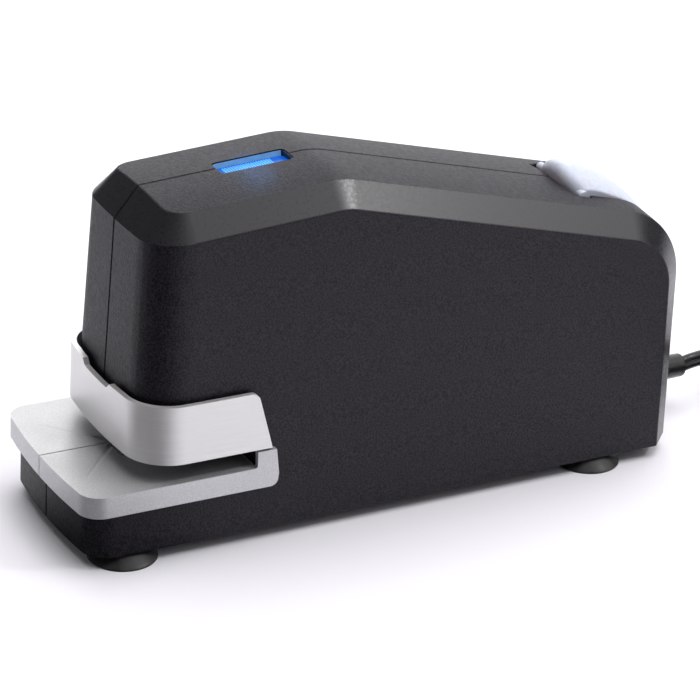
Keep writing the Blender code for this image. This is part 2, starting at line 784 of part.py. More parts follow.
def magazine():
    """Channel, staple rail, staples, pusher, its spring and the rod that guides it."""
    front = COLLAR_Y + COLLAR_WALL + GAP
    channel = block(
        "magazine_channel",
        (-MAGAZINE_X, front, MAGAZINE_LOW),
        (MAGAZINE_X, MAGAZINE_REAR, MAGAZINE_TOP),
        0.4 * MM,
    )
    hollow = block(
        "channel_cut",
        (SHEET - MAGAZINE_X, front + CHANNEL_NOSE, MAGAZINE_LOW + SHEET),
        (MAGAZINE_X - SHEET, MAGAZINE_REAR - 2 * MM, MAGAZINE_TOP + 5 * MM),
    )
    exit_slot = block(
        "staple_exit_cut",
        (SHEET - MAGAZINE_X, BLADE_Y - EXIT_HALF, MAGAZINE_LOW - 5 * MM),
        (MAGAZINE_X - SHEET, BLADE_Y + EXIT_HALF, MAGAZINE_TOP + 5 * MM),
    )
    boolean(channel, cutter(hollow))
    boolean(channel, cutter(exit_slot))
    rail_low = MAGAZINE_LOW + SHEET + GAP
    rail_top = rail_low + STAPLE_LEG
    rail = block(
        "staple_rail",
        (-RAIL_X, STRIP_FRONT, rail_low),
        (RAIL_X, MAGAZINE_REAR - 2.4 * MM, rail_top),
        0.3 * MM,
    )
    groove = block(
        "rail_cut",
        (-RAIL_GROOVE, STRIP_FRONT + 2 * MM, rail_low + 2 * MM),
        (RAIL_GROOVE, REAR, HEAD_Z + REAR),
    )
    boolean(rail, cutter(groove))
    strip_rear = STRIP_FRONT + STRIP_LENGTH
    staples = block(
        "staple_strip",
        (-STAPLE_WIDTH / 2, STRIP_FRONT, rail_low + 0.2 * MM),
        (STAPLE_WIDTH / 2, strip_rear, rail_top + 0.9 * MM),
        0.2 * MM,
    )
    inside = block(
        "staple_cut",
        (-RAIL_X - GAP, STRIP_FRONT - MM, 0),
        (RAIL_X + GAP, strip_rear + MM, rail_top + GAP),
    )
    boolean(staples, cutter(inside))
    pusher = block(
        "staple_pusher",
        (-STAPLE_WIDTH / 2, strip_rear + GAP, rail_low + 0.4 * MM),
        (STAPLE_WIDTH / 2, strip_rear + PUSHER_LENGTH, rail_top + PUSHER_RISE),
        0.3 * MM,
    )
    inside = block(
        "pusher_cut",
        (-RAIL_X - GAP, strip_rear - MM, 0),
        (RAIL_X + GAP, strip_rear + PUSHER_LENGTH + MM, rail_top + GAP),
    )
    boolean(pusher, cutter(inside))
    spring_z = rail_top + PUSHER_RISE + 0.2 * MM
    spring_start = strip_rear + PUSHER_LENGTH + GAP
    coil = spring(
        "pusher_spring",
        (PUSHER_SPRING_X, spring_start, spring_z),
        (PUSHER_SPRING_X, MAGAZINE_REAR - 2.6 * MM, spring_z),
        1.6 * MM,
        0.25 * MM,
        14,
    )
    keep(channel, ZINC)
    keep(rail, STEEL)
    keep(staples, STEEL)
    keep(pusher, NYLON)
    keep(coil, STEEL)
    return [channel, rail, staples], [pusher, coil]


def solenoid():
    """Steel frame, bobbin, winding, plunger, its arm, return spring and the driver blade."""
    half = FRAME_DEPTH / 2
    frame = block(
        "solenoid_frame",
        (-FRAME_X, SOLENOID_Y - half, FRAME_LOW),
        (FRAME_X, SOLENOID_Y + half, FRAME_TOP),
        0.5 * MM,
    )
    inside = block(
        "frame_cut",
        (-FRAME_X - MM, SOLENOID_Y - half + FRAME_WALL, FRAME_LOW + FRAME_WALL),
        (FRAME_X + MM, SOLENOID_Y + half - FRAME_WALL, FRAME_TOP - FRAME_WALL),
    )
    boolean(frame, cutter(inside))
    top = (0, SOLENOID_Y, FRAME_TOP + 5 * MM)
    hole = rod("plunger_cut", (0, SOLENOID_Y, FRAME_TOP - 5 * MM), top, PLUNGER_RADIUS + GAP)
    boolean(frame, cutter(hole))
    bobbin_low = FRAME_LOW + FRAME_WALL + GAP
    bobbin_top = FRAME_TOP - FRAME_WALL - GAP
    bore = PLUNGER_RADIUS + GAP
    height = bobbin_top - bobbin_low
    bobbin = turned(
        "solenoid_bobbin",
        [
            (bore, height),
            (FLANGE_RADIUS, height),
            (FLANGE_RADIUS, height - FLANGE),
            (CORE_RADIUS, height - FLANGE),
            (CORE_RADIUS, FLANGE),
            (FLANGE_RADIUS, FLANGE),
            (FLANGE_RADIUS, 0),
            (bore, 0),
            (bore, height),
        ],
        (0, SOLENOID_Y, bobbin_low),
    )
    wound_top = height - FLANGE - GAP
    winding = turned(
        "solenoid_winding",
        [
            (CORE_RADIUS + GAP, wound_top),
            (WOUND_RADIUS, wound_top),
            (WOUND_RADIUS, FLANGE + GAP),
            (CORE_RADIUS + GAP, FLANGE + GAP),
            (CORE_RADIUS + GAP, wound_top),
        ],
        (0, SOLENOID_Y, bobbin_low),
    )
    plunger = rod("plunger", (0, SOLENOID_Y, PLUNGER_LOW), (0, SOLENOID_Y, ARM_LOW - GAP), PLUNGER_RADIUS)
    arm = block(
        "driver_arm",
        (-BLADE_X, BLADE_Y + BLADE / 2 + GAP, ARM_LOW),
        (BLADE_X, SOLENOID_Y + 8 * MM, ARM_LOW + ARM),
        0.4 * MM,
    )
    blade = block(
        "driver_blade",
        (-BLADE_X, BLADE_Y - BLADE / 2, BLADE_LOW),
        (BLADE_X, BLADE_Y + BLADE / 2, ARM_LOW + ARM),
        0.1 * MM,
    )
    coil = spring(
        "return_spring",
        (0, SOLENOID_Y, FRAME_TOP + GAP),
        (0, SOLENOID_Y, ARM_LOW - GAP),
        6.6 * MM,
        0.5 * MM,
        4.5,
    )
    keep(frame, ZINC)
    keep(bobbin, NYLON)
    keep(winding, COPPER)
    keep(plunger, STEEL)
    keep(arm, ZINC)
    keep(blade, STEEL)
    keep(coil, STEEL)
    return [plunger, arm, blade, coil]


def chassis():
    """Steel plate over the magazine that carries the solenoid and the board."""
    top = CHASSIS_LOW + CHASSIS
    corner = (CHASSIS_X, MAGAZINE_REAR, top)
    plate = block("chassis_plate", (-CHASSIS_X, CHASSIS_FRONT, CHASSIS_LOW), corner, 0.3 * MM)
    near, far = CHASSIS_WINDOW_Y
    window = block(
        "chassis_cut",
        (-CHASSIS_WINDOW_X, near, CHASSIS_LOW - 5 * MM),
        (CHASSIS_WINDOW_X, far, top + 5 * MM),
    )
    boolean(plate, cutter(window))
    return keep(plate, ZINC)


def circuit():
    """Board with the parts that fire the solenoid, and the indicator's own small board."""
    on_board = BOARD_LOW + BOARD_SHEET + GAP
    board = block(
        "circuit_board",
        (-BOARD_X, BOARD_FRONT, BOARD_LOW),
        (BOARD_X, MAGAZINE_REAR, BOARD_LOW + BOARD_SHEET),
        0.2 * MM,
    )
    keep(board, BOARD)
    start = Vector((-9 * MM, 8 * MM, on_board))
    keep(rod("capacitor", start, start + Vector((0, 0, CAPACITOR_HEIGHT)), CAPACITOR_RADIUS), COMPONENT)
    start = Vector((4 * MM, 22 * MM, on_board))
    keep(block("triac", start, start + Vector((10 * MM, 4.5 * MM, 15 * MM)), 0.5 * MM), COMPONENT)
    start = Vector((2 * MM, 26.8 * MM, on_board))
    sink = block("heat_sink", start, start + Vector((16 * MM, 13.2 * MM, SINK_HEIGHT)))
    for k in range(SINK_FINS):
        left = start + Vector((3 * MM + FIN_PITCH * k, 2.2 * MM, -BOARD_LOW))
        fin = block(f"fin_cut_{k}", left, left + Vector((FIN_GAP, 20 * MM, HEIGHT)))
        boolean(sink, cutter(fin))
    keep(sink, ZINC)
    start = Vector((-12 * MM, 34 * MM, on_board + FUSE_RADIUS + 0.2 * MM))
    keep(rod("fuse", start, start + Vector((0, FUSE_LENGTH, 0)), FUSE_RADIUS), STEEL)
    small_top = INDICATOR_LOW + INDICATOR_SHEET
    low = (-6 * MM, WINDOW_Y - 6.1 * MM, INDICATOR_LOW)
    keep(block("indicator_board", low, (6 * MM, WINDOW_Y + 9.9 * MM, small_top)), BOARD)
    start = Vector((0, WINDOW_Y, small_top + GAP))
    keep(rod("indicator_led", start, start + Vector((0, 0, 3.6 * MM)), 1.5 * MM, MM), LENS)
    lens_top = top_z(WINDOW_Y - WINDOW_LENGTH / 2) - MM
    keep(prism("indicator_lens", window_outline(-GAP), "Z", LENS_LOW, lens_top), LENS)


def release_button():
    """Crowned button on trunnions at its front end, in the recess at the rear of the top."""
    count = 8
    back = []
    for k in range(count + 1):
        y = BUTTON_FRONT + (BUTTON_REAR - BUTTON_FRONT) * k / count
        back.append((y, BUTTON_ARC_Z + math.sqrt(BUTTON_ARC**2 - (y - BUTTON_ARC_Y) ** 2)))
    rise = 7.5 * MM
    under = [(y, z - rise) for y, z in back[::-2]]
    bm = bmesh.new()
    ring = [bm.verts.new((0, y, z)) for y, z in back + under]
    edges = [bm.edges.new(pair) for pair in zip(ring, ring[1:] + ring[:1])]
    grown = bmesh.ops.extrude_edge_only(bm, edges=edges)["geom"]
    outer = [item for item in grown if isinstance(item, bmesh.types.BMVert)]
    bmesh.ops.translate(bm, verts=outer, vec=(BUTTON_X, 0, 0))
    bmesh.ops.edgeloop_fill(bm, edges=[e for e in bm.edges if all(v.co.x > BUTTON_X / 2 for v in e.verts)])
    for share in (0.25, 0.5, 0.75):
        geometry = list(bm.verts) + list(bm.edges) + list(bm.faces)
        place = (BUTTON_X * share, 0, 0)
        bmesh.ops.bisect_plane(bm, geom=geometry, dist=0.001 * MM, plane_co=place, plane_no=(1, 0, 0))
    for vert in bm.verts:
        share = vert.co.x / BUTTON_X
        vert.co.z -= BUTTON_CROWN * share**2
        ahead = max(0, 1 - (vert.co.y - BUTTON_FRONT) / (6 * MM))
        vert.co.y += 5 * MM * share**3 * ahead
    shape = from_bmesh("release_button", bm)
    mirror = shape.modifiers.new("mirror", "MIRROR")
    mirror.use_axis = (True, False, False)
    mirror.merge_threshold = 0.001 * MM
    reach = BUTTON_X + 2 * MM
    trunnion = rod("trunnion", (-reach, PIVOT_Y, PIVOT_Z), (reach, PIVOT_Y, PIVOT_Z), PIVOT_RADIUS)
    boolean(shape, cutter(trunnion), "UNION")
    return keep(shape, BUTTON)


def release_train():
    """Push rod under the button and the latch lever that it turns, with the lever's axle."""
    slant = ROD_SLOPE * ROD_HALF  # the top leans with the underside of the button
    outline = [
        (ROD_Y - ROD_HALF, ROD_LOW, 0),
        (ROD_Y - ROD_HALF, ROD_TOP + slant, 0.3 * MM),
        (ROD_Y + ROD_HALF, ROD_TOP - slant, 0.3 * MM),
        (ROD_Y + ROD_HALF, ROD_LOW, 0),
    ]
    push = prism("release_rod", rounded(outline), "X", -ROD_HALF, ROD_HALF)
    keep(push, NYLON)
    axle = rod(
        "latch_axle",
        (-AXLE_X, LATCH_Y, LATCH_Z),
        (AXLE_X, LATCH_Y, LATCH_Z),
        LATCH_BORE,
        sides=20,
    )
    keep(axle, STEEL)
    hook_y = MAGAZINE_REAR + LATCH_HALF
    lever = prism(
        "latch_lever",
        rounded(
            [
                (ROD_Y + LATCH_HALF, LATCH_Z + LATCH_DEPTH, MM),
                (LATCH_Y - 2.6 * MM, LATCH_Z + LATCH_DEPTH, 2 * MM),
                (hook_y, MAGAZINE_TOP - MM, 0),
                (hook_y, MAGAZINE_TOP - 6 * MM, 0),
                (hook_y + 2.5 * MM, MAGAZINE_TOP - 6 * MM, 0),
                (LATCH_Y, LATCH_Z - LATCH_DEPTH, 0),
                (ROD_Y + LATCH_HALF, LATCH_Z, MM),
            ]
        ),
        "X",
        -LATCH_HALF,
        LATCH_HALF,
    )
    near = (-2 * LATCH_HALF, LATCH_Y, LATCH_Z)
    far = (2 * LATCH_HALF, LATCH_Y, LATCH_Z)
    boolean(lever, cutter(rod("latch_cut", near, far, LATCH_BORE + GAP, sides=20)))
    keep(lever, ZINC)
    return push, lever


def paper_lever():
    """Finger in the slot that paper pushes back, its axle, and the switch that it presses."""
    lever = prism(
        "paper_lever",
        rounded(
            [
                (LEVER_Y - 2.6 * MM, LEVER_Z + 2.6 * MM, 2 * MM),
                (LEVER_Y - 2.6 * MM, LEVER_Z - 3 * MM, 0),
                (LEVER_Y - 5.2 * MM, PLATE_Z + 2 * MM, 0.6 * MM),
                (LEVER_Y - 3.2 * MM, PLATE_Z + 2 * MM, 0.6 * MM),
                (LEVER_Y + 2.6 * MM, LEVER_Z - 3 * MM, 0),
                (LEVER_Y + 2.6 * MM, LEVER_Z + 2.6 * MM, 2 * MM),
            ]
        ),
        "X",
        LEVER_X - LEVER / 2,
        LEVER_X + LEVER / 2,
    )
    place = (LEVER_X - 1.5 * LEVER, LEVER_Y, LEVER_Z)
    far = (LEVER_X + 1.5 * LEVER, LEVER_Y, LEVER_Z)
    boolean(lever, cutter(rod("lever_bore_cut", place, far, MM + GAP, sides=20)))
    keep(lever, NYLON)
    axle_end = (AXLE_X, LEVER_Y, LEVER_Z)
    keep(rod("lever_axle", (LEVER_X - 2.4 * MM, LEVER_Y, LEVER_Z), axle_end, MM, sides=20), STEEL)
    switch = block(
        "paper_switch",
        (LEVER_X - 2.6 * MM, LEVER_Y + 5 * MM, LEVER_Z - SWITCH_HEIGHT / 2),
        (LEVER_X + 3.6 * MM, LEVER_Y + 5 * MM + SWITCH_LENGTH, LEVER_Z + SWITCH_HEIGHT / 2),
        0.4 * MM,
    )
    keep(switch, COMPONENT)
    return lever


def suction_feet():
    """Rubber suction feet, one at each corner, each with a stem and a barb through the base."""
    for end, y in FOOT_Y.items():
        for side_name, side in (("left", -1), ("right", 1)):
            profile = [
                (0, BARB_TOP),
                (STEM_RADIUS - GAP, BARB_TOP),
                (STEM_RADIUS + 1.1 * MM, BASE_Z + WALL + GAP),
                (STEM_RADIUS, BASE_Z + WALL + GAP),
                (STEM_RADIUS, BASE_Z - GAP),
                (6.5 * MM, BASE_Z - GAP),
                (8.6 * MM, 2.1 * MM),
                (FOOT_RADIUS, 0.5 * MM),
                (FOOT_RADIUS, 0),
                (5.5 * MM, 0),
                (3 * MM, 0.7 * MM),
                (0, 0.9 * MM),
            ]
            foot = turned(f"suction_foot_{end}_{side_name}", profile, (side * FOOT_X, y, 0))
            keep(foot, RUBBER)


def screws():
    """Pan-head screws through the left half into the right half's bosses."""
    for i, (y, z) in enumerate(SCREWS):
        head = HEAD_SINK - side_x(z)
        length = SCREW_TIP - head
        profile = [
            (0, 2.2 * MM),
            (1.6 * MM, 2.2 * MM),
            (SCREW_HEAD, 1.4 * MM),
            (SCREW_HEAD, GAP),
            (SCREW_RADIUS, GAP),
            (SCREW_RADIUS, -length + 1.5 * MM),
            (0, -length),
        ]
        shape = turned(f"housing_screw_{i + 1}", profile, (head - GAP, y, z), (0, math.radians(-90), 0), 20)
        keep(shape, STEEL)


def mains_cord():
    """Strain relief, lead, storage coil with its tie, and a two-blade plug lying on the coil."""
    relief = turned(
        "strain_relief",
        [
            (0, RELIEF_LENGTH),
            (RELIEF_RADIUS, RELIEF_LENGTH),
            (RELIEF_RADIUS + GAP, 3.4 * MM),
            (RELIEF_FLANGE, 3 * MM),
            (RELIEF_FLANGE, GAP),
            (RELIEF_RADIUS, GAP),
            (RELIEF_RADIUS, -WALL - GAP),
            (5 * MM, -WALL - GAP),
            (5 * MM, -WALL - RELIEF_INSIDE),
            (0, -WALL - RELIEF_INSIDE),
        ],
        (0, REAR, CORD_Z),
        (math.radians(-90), 0, 0),
        24,
    )
    keep(relief, CABLE)
    points = smooth_route([Vector(p) * MM for p in ROUTE], 3)
    keep(tube("power_cord", points, CORD / 2, 2), CABLE, 60)
    half = CORD * COIL_LAYERS / 2
    profile = [
        (COIL_RADIUS - half, half * 2),
        (COIL_RADIUS + half, half * 2),
        (COIL_RADIUS + half, 0),
        (COIL_RADIUS - half, 0),
        (COIL_RADIUS - half, half * 2),
    ]
    keep(turned("cord_coil", profile, (COIL_X, COIL_Y, 0)), CABLE)
    plug_x = COIL_X + COIL_RADIUS
    plug_z = half * 2 + GAP
    face_y = COIL_Y - 13 * MM
    neck_y = face_y + PLUG_LENGTH
    shoulder_y = face_y + 6 * MM
    corners = [
        (plug_x - PLUG_NECK, neck_y, 2 * MM),
        (plug_x - PLUG_HALF, shoulder_y, 2 * MM),
        (plug_x - PLUG_HALF, face_y, MM),
        (plug_x + PLUG_HALF, face_y, MM),
        (plug_x + PLUG_HALF, shoulder_y, 2 * MM),
        (plug_x + PLUG_NECK, neck_y, 2 * MM),
    ]
    keep(prism("plug_body", rounded(corners), "Z", plug_z, plug_z + PLUG_HEIGHT), CABLE)
    pin_z = plug_z + 2.4 * MM
    for name, side in (("plug_blade_left", -1), ("plug_blade_right", 1)):
        x = plug_x + side * BLADE_PITCH / 2
        low = (x - PIN_THICK / 2, face_y - GAP - PIN_LENGTH, pin_z)
        high = (x + PIN_THICK / 2, face_y - GAP, pin_z + PIN_WIDTH)
        keep(block(name, low, high, 0.2 * MM), STEEL)


def smooth_route(points, parts):
    """Points on a Catmull-Rom curve through the route, with parts to each stretch."""
    padded = [2 * points[0] - points[1], *points, 2 * points[-1] - points[-2]]
    path = []
    for p0, p1, p2, p3 in zip(padded, padded[1:], padded[2:], padded[3:]):
        for k in range(parts):
            t = k / parts
            path.append(
                0.5
                * (
                    2 * p1
                    + (p2 - p0) * t
                    + (2 * p0 - 5 * p1 + 4 * p2 - p3) * t**2
                    + (3 * p1 - p0 - 3 * p2 + p3) * t**3
                )
            )
    path.append(points[-1])
    return path


def build():
    """Every sub-part, with an empty on each joint's axis."""
    right = housing_half("housing_right", 1)
    left = housing_half("housing_left", -1)
    open_housing(right, left)
    base_trim("base_trim_right", 1)
    base_trim("base_trim_left", -1)
    anvil()
    drawer, follower = magazine()
    carried_by("magazine_slide", (0, COLLAR_Y, MAGAZINE_LOW), [collar(), *drawer])
    carried_by("pusher_slide", (0, STRIP_FRONT + STRIP_LENGTH, MAGAZINE_LOW), follower)
    carried_by("driver_slide", (0, SOLENOID_Y, FRAME_TOP), solenoid())
    chassis()
    circuit()
    carried_by("button_hinge", (0, PIVOT_Y, PIVOT_Z), [release_button()])
    push, latch = release_train()
    carried_by("release_rod_slide", (0, ROD_Y, ROD_TOP), [push])
    carried_by("latch_hinge", (0, LATCH_Y, LATCH_Z), [latch])
    carried_by("paper_lever_hinge", (LEVER_X, LEVER_Y, LEVER_Z), [paper_lever()])
    suction_feet()
    screws()
    mains_cord()


build()
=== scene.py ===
"""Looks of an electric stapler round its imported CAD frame: moulded halves, silver trim, collar,
button, window, feet, cord and the mechanism inside. Units are metres, in the frame's own axes.
"""

import math

import bmesh
import bpy
from mathutils import Matrix, Vector


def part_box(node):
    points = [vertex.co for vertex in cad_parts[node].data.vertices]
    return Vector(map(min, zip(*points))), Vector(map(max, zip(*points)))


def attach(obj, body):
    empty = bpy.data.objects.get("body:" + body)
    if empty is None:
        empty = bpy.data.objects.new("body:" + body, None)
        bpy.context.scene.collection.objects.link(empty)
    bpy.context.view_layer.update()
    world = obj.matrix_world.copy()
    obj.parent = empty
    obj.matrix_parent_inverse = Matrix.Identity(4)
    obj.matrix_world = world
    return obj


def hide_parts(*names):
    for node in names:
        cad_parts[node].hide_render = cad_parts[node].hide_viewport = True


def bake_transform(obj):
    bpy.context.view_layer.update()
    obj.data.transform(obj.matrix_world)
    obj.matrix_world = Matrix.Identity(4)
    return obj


MM = 0.001

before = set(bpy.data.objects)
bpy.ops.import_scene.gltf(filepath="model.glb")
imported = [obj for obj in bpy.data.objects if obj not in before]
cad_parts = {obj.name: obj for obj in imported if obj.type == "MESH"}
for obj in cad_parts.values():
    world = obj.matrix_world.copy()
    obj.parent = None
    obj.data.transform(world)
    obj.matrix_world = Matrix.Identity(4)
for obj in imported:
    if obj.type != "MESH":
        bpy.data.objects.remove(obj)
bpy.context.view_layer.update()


# ---------------------------------------------------------------- sizes read from the frame

HOUSING_LOW, HOUSING_HIGH = (Vector(corner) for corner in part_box("housing_right"))
TRIM_LOW, TRIM_HIGH = (Vector(corner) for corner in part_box("base_trim_right"))
COLLAR_BOX_LOW, COLLAR_BOX_HIGH = (Vector(corner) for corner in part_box("magazine_collar"))
LENS_LOW, LENS_HIGH = (Vector(corner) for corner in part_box("indicator_lens"))
COIL_LOW, COIL_HIGH = (Vector(corner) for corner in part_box("cord_coil"))
ANVIL_LOW, ANVIL_HIGH = (Vector(corner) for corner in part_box("anvil"))
PLUG_LOW, PLUG_HIGH = (Vector(corner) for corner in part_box("plug_body"))

# Housing, as the CAD halves are made, but with a softer bend where the top changes slope
SEAM = HOUSING_LOW.x
REAR = HOUSING_HIGH.y
BASE_Z = HOUSING_LOW.z
SIDE_X = HOUSING_HIGH.x
DRAFT = 0.0365
CROWN = 1.75 * MM
HEIGHT = 110 * MM
BASE_BOW = 2.4 * MM
HEAD_BOW = 1.2 * MM
COLLAR_BOW = 3 * MM
CHAMFER = 7 * MM
KINK_Y = -16.7 * MM
REAR_SLOPE = -0.254
FRONT_SLOPE = 0.064
REAR_RADIUS = 24.5 * MM
KINK_RADIUS = 27 * MM
HEAD_Y = -82.8 * MM
HEAD_LEAN = 0.05
HEAD_RADIUS = 13 * MM
BASE_RADIUS = 7 * MM
WALL = 2.2 * MM
DECK_Z = 22.8 * MM
HEAD_Z = 32.5 * MM
THROAT_Y = -46.5 * MM
FRONT = TRIM_LOW.y
WINDOW_Y = (LENS_LOW.y + LENS_HIGH.y) / 2
BASE_FRONT = HOUSING_LOW.y

# Silver parts
TRIM_WALL = 1.8 * MM
TRIM_X = TRIM_HIGH.x
TRIM_REAR = TRIM_HIGH.y
SKIRT_Z = TRIM_LOW.z
CHEEK_Z = TRIM_HIGH.z
PLATE_Z = 25.1 * MM
PLATE = 2 * MM
COLLAR_Y = COLLAR_BOX_LOW.y
COLLAR_X = COLLAR_BOX_HIGH.x
COLLAR_LOW = COLLAR_BOX_LOW.z
COLLAR_TOP = COLLAR_BOX_HIGH.z
COLLAR_RADIUS = 14.5 * MM
COLLAR_WALL = 1.7 * MM
NOTCH_WIDTH = 19.5 * MM
NOTCH_DEPTH = 1.8 * MM

# Cord: the route's points are those of the CAD model
CORD = 5.4 * MM
CORD_THICK = 3 * MM
COIL_LAYERS = 3
CORD_ROUTE = [
    (0, 123.6, 14),
    (-0.4, 129, 14.6),
    (-1.9, 137, 13.9),
    (-5, 145.5, 10.2),
    (-9.2, 154, 5.9),
    (-12.3, 163, 3.4),
    (-13.5, 172, 2.9),
    (-13.5, 178, 2.9),
]
CORD_Z = CORD_ROUTE[0][2] * MM


# ---------------------------------------------------------------- camera, lights and floor

# Directions in which the world is bright, the world is dark, and the floor is painted dark as seen in
# reflections
BACK_LIGHT = (-0.2, 0.8, 0.55)
DARK_BAND = (0.02, 0.99, 0.13)
DARK_REFLECTION_DIRECTION = (0.5, -0.86, 0)


def look(azimuth, elevation, roll, distance, target, lens):
    """A camera at an angle round the object, turned about its own axis by the roll."""
    az, el, tilt = (math.radians(angle) for angle in (azimuth, elevation, roll))
    back = Vector((math.sin(az) * math.cos(el), -math.cos(az) * math.cos(el), math.sin(el)))
    right = Vector((math.cos(az), math.sin(az), 0))
    up = back.cross(right)
    across = math.cos(tilt) * right + math.sin(tilt) * up
    above = back.cross(across)
    place = Matrix((across, above, back)).transposed().to_4x4()
    place.translation = Vector(target) + back * distance
    data = bpy.data.cameras.new("camera")
    data.lens = lens
    data.sensor_width = 36
    data.clip_start = 0.05
    camera = bpy.data.objects.new("camera", data)
    camera.matrix_world = place
    bpy.context.scene.collection.objects.link(camera)
    bpy.context.scene.camera = camera


def area_light(name, place, target, size, power, colour=(1, 1, 1)):
    """A soft box that faces a point."""
    data = bpy.data.lights.new(name, "AREA")
    data.shape = "RECTANGLE"
    data.size, data.size_y = size
    data.energy = power
    data.color = colour
    light = bpy.data.objects.new(name, data)
    light.location = place
    light.rotation_euler = (Vector(target) - Vector(place)).to_track_quat("-Z", "Y").to_euler()
    bpy.context.scene.collection.objects.link(light)
    return light


def direction_glow(nodes, links, source, toward, start, end, low, high):
    """A value that grows as a direction turns toward a given one."""
    dot = nodes.new("ShaderNodeVectorMath")
    dot.operation = "DOT_PRODUCT"
    dot.inputs[1].default_value = Vector(toward).normalized()
    links.new(source, dot.inputs[0])
    grow = nodes.new("ShaderNodeMapRange")
    grow.interpolation_type = "SMOOTHSTEP"
    grow.inputs["From Min"].default_value = start
    grow.inputs["From Max"].default_value = end
    grow.inputs["To Min"].default_value = low
    grow.inputs["To Max"].default_value = high
    links.new(dot.outputs["Value"], grow.inputs["Value"])
    return grow.outputs["Result"]


def white_studio():
    """A world that is white to look at and lights from behind and above, less a dark band there."""
    world = bpy.data.worlds.new("studio")
    world.use_nodes = True
    nodes, links = world.node_tree.nodes, world.node_tree.links
    seen = nodes["Background"]
    seen.inputs["Color"].default_value = (1, 1, 1, 1)
    lighting = nodes.new("ShaderNodeBackground")
    lighting.inputs["Color"].default_value = (0.985, 0.985, 1, 1)
    place = nodes.new("ShaderNodeTexCoord")
    glow = direction_glow(nodes, links, place.outputs["Generated"], BACK_LIGHT, 0.1, 0.75, 0.04, 1.25)
    band = direction_glow(nodes, links, place.outputs["Generated"], DARK_BAND, 0.86, 0.95, 1, 0.02)
    both = nodes.new("ShaderNodeMath")
    both.operation = "MULTIPLY"
    links.new(glow, both.inputs[0])
    links.new(band, both.inputs[1])
    links.new(both.outputs["Value"], lighting.inputs["Strength"])
    path = nodes.new("ShaderNodeLightPath")
    mix = nodes.new("ShaderNodeMixShader")
    links.new(path.outputs["Is Camera Ray"], mix.inputs["Fac"])
    links.new(lighting.outputs["Background"], mix.inputs[1])
    links.new(seen.outputs["Background"], mix.inputs[2])
    links.new(mix.outputs["Shader"], nodes["World Output"].inputs["Surface"])
    bpy.context.scene.world = world


def floor_finish():
    """Matt white floor with a painted dark reflection: in front of the right-hand corner its colour goes
    dark, but only to glossy rays.
    """
    made, nodes, links, surface = shader("floor_white", (0.9, 0.9, 0.915), 0.8)
    surface.inputs["Specular IOR Level"].default_value = 0.1
    place = nodes.new("ShaderNodeTexCoord")
    middle = nodes.new("ShaderNodeVectorMath")
    middle.operation = "SUBTRACT"
    middle.inputs[1].default_value = (0.0, -0.05, 0)
    links.new(place.outputs["Object"], middle.inputs[0])
    unit = nodes.new("ShaderNodeVectorMath")
    unit.operation = "NORMALIZE"
    links.new(middle.outputs["Vector"], unit.inputs[0])
    # Painted reflection: the floor's colour darkens toward this direction, for glossy rays only
    painted_reflection_darkness = direction_glow(nodes, links, unit.outputs["Vector"], DARK_REFLECTION_DIRECTION, 0.55, 0.95, 0, 0.97)
    path = nodes.new("ShaderNodeLightPath")
    both = nodes.new("ShaderNodeMath")
    both.operation = "MULTIPLY"
    links.new(painted_reflection_darkness, both.inputs[0])
    links.new(path.outputs["Is Glossy Ray"], both.inputs[1])
    colour = tint(nodes, links, both.outputs["Value"], (0.9, 0.885, 0.93), (0.01, 0.01, 0.01), 0, 1)
    links.new(colour, surface.inputs["Base Color"])
    return made


def studio():
    """White floor and world, a broad box overhead, four smaller boxes and the window's own glow."""
    white_studio()
    bm = bmesh.new()
    bmesh.ops.create_grid(bm, x_segments=1, y_segments=1, size=6)
    mesh_piece("floor", bm, floor_finish())
    overhead = area_light("top_box", (-0.1, 0.1, 1.1), (0, 0, 0), (1.1, 1.1), 10.5)
    overhead.visible_glossy = False
    area_light("rear_box", (0.3, 0.86, 0.77), (0, 0.02, 0.08), (0.5, 0.35), 0.35)
    area_light("left_box", (-1.1, 0.5, 0.62), (0, 0, 0.1), (0.9, 0.6), 1.8)
    fill = area_light("front_fill", (-0.45, -0.9, 0.45), (0, 0, 0.08), (0.5, 0.5), 0.9)
    fill.visible_glossy = False
    area_light("kink_strip", (0.46, 0.65, 0.89), (0, -0.02, 0.1), (0.1, 0.1), 2.2)
    spill = (0, WINDOW_Y, HEIGHT + 2.2 * MM)
    area_light("window_spill", spill, (0, WINDOW_Y, 0), (20 * MM, 9 * MM), 0.0011, (0.12, 0.4, 1))
    bpy.context.scene.view_settings.view_transform = "Standard"


# ---------------------------------------------------------------- materials


def shader(name, colour, roughness, metallic=0.0):
    """A Principled material, and its nodes, links and shader."""
    made = bpy.data.materials.new(name)
    made.use_nodes = True
    nodes, links = made.node_tree.nodes, made.node_tree.links
    surface = nodes["Principled BSDF"]
    surface.inputs["Base Color"].default_value = (*colour, 1)
    surface.inputs["Roughness"].default_value = roughness
    surface.inputs["Metallic"].default_value = metallic
    return made, nodes, links, surface


def noise(nodes, links, scale, detail=3, stretch=(1, 1, 1)):
    """Noise on Object coordinates, stretched along an axis where the grain runs."""
    place = nodes.new("ShaderNodeTexCoord")
    mapping = nodes.new("ShaderNodeMapping")
    mapping.inputs["Scale"].default_value = stretch
    texture = nodes.new("ShaderNodeTexNoise")
    texture.inputs["Scale"].default_value = scale
    texture.inputs["Detail"].default_value = detail
    links.new(place.outputs["Object"], mapping.inputs["Vector"])
    links.new(mapping.outputs["Vector"], texture.inputs["Vector"])
    return texture


def spread(nodes, links, source, low, high, start=0.3, end=0.7):
    """A value moved from one range to another."""
    ramp = nodes.new("ShaderNodeMapRange")
    ramp.inputs["From Min"].default_value = start
    ramp.inputs["From Max"].default_value = end
    ramp.inputs["To Min"].default_value = low
    ramp.inputs["To Max"].default_value = high
    links.new(source, ramp.inputs["Value"])
    return ramp.outputs["Result"]


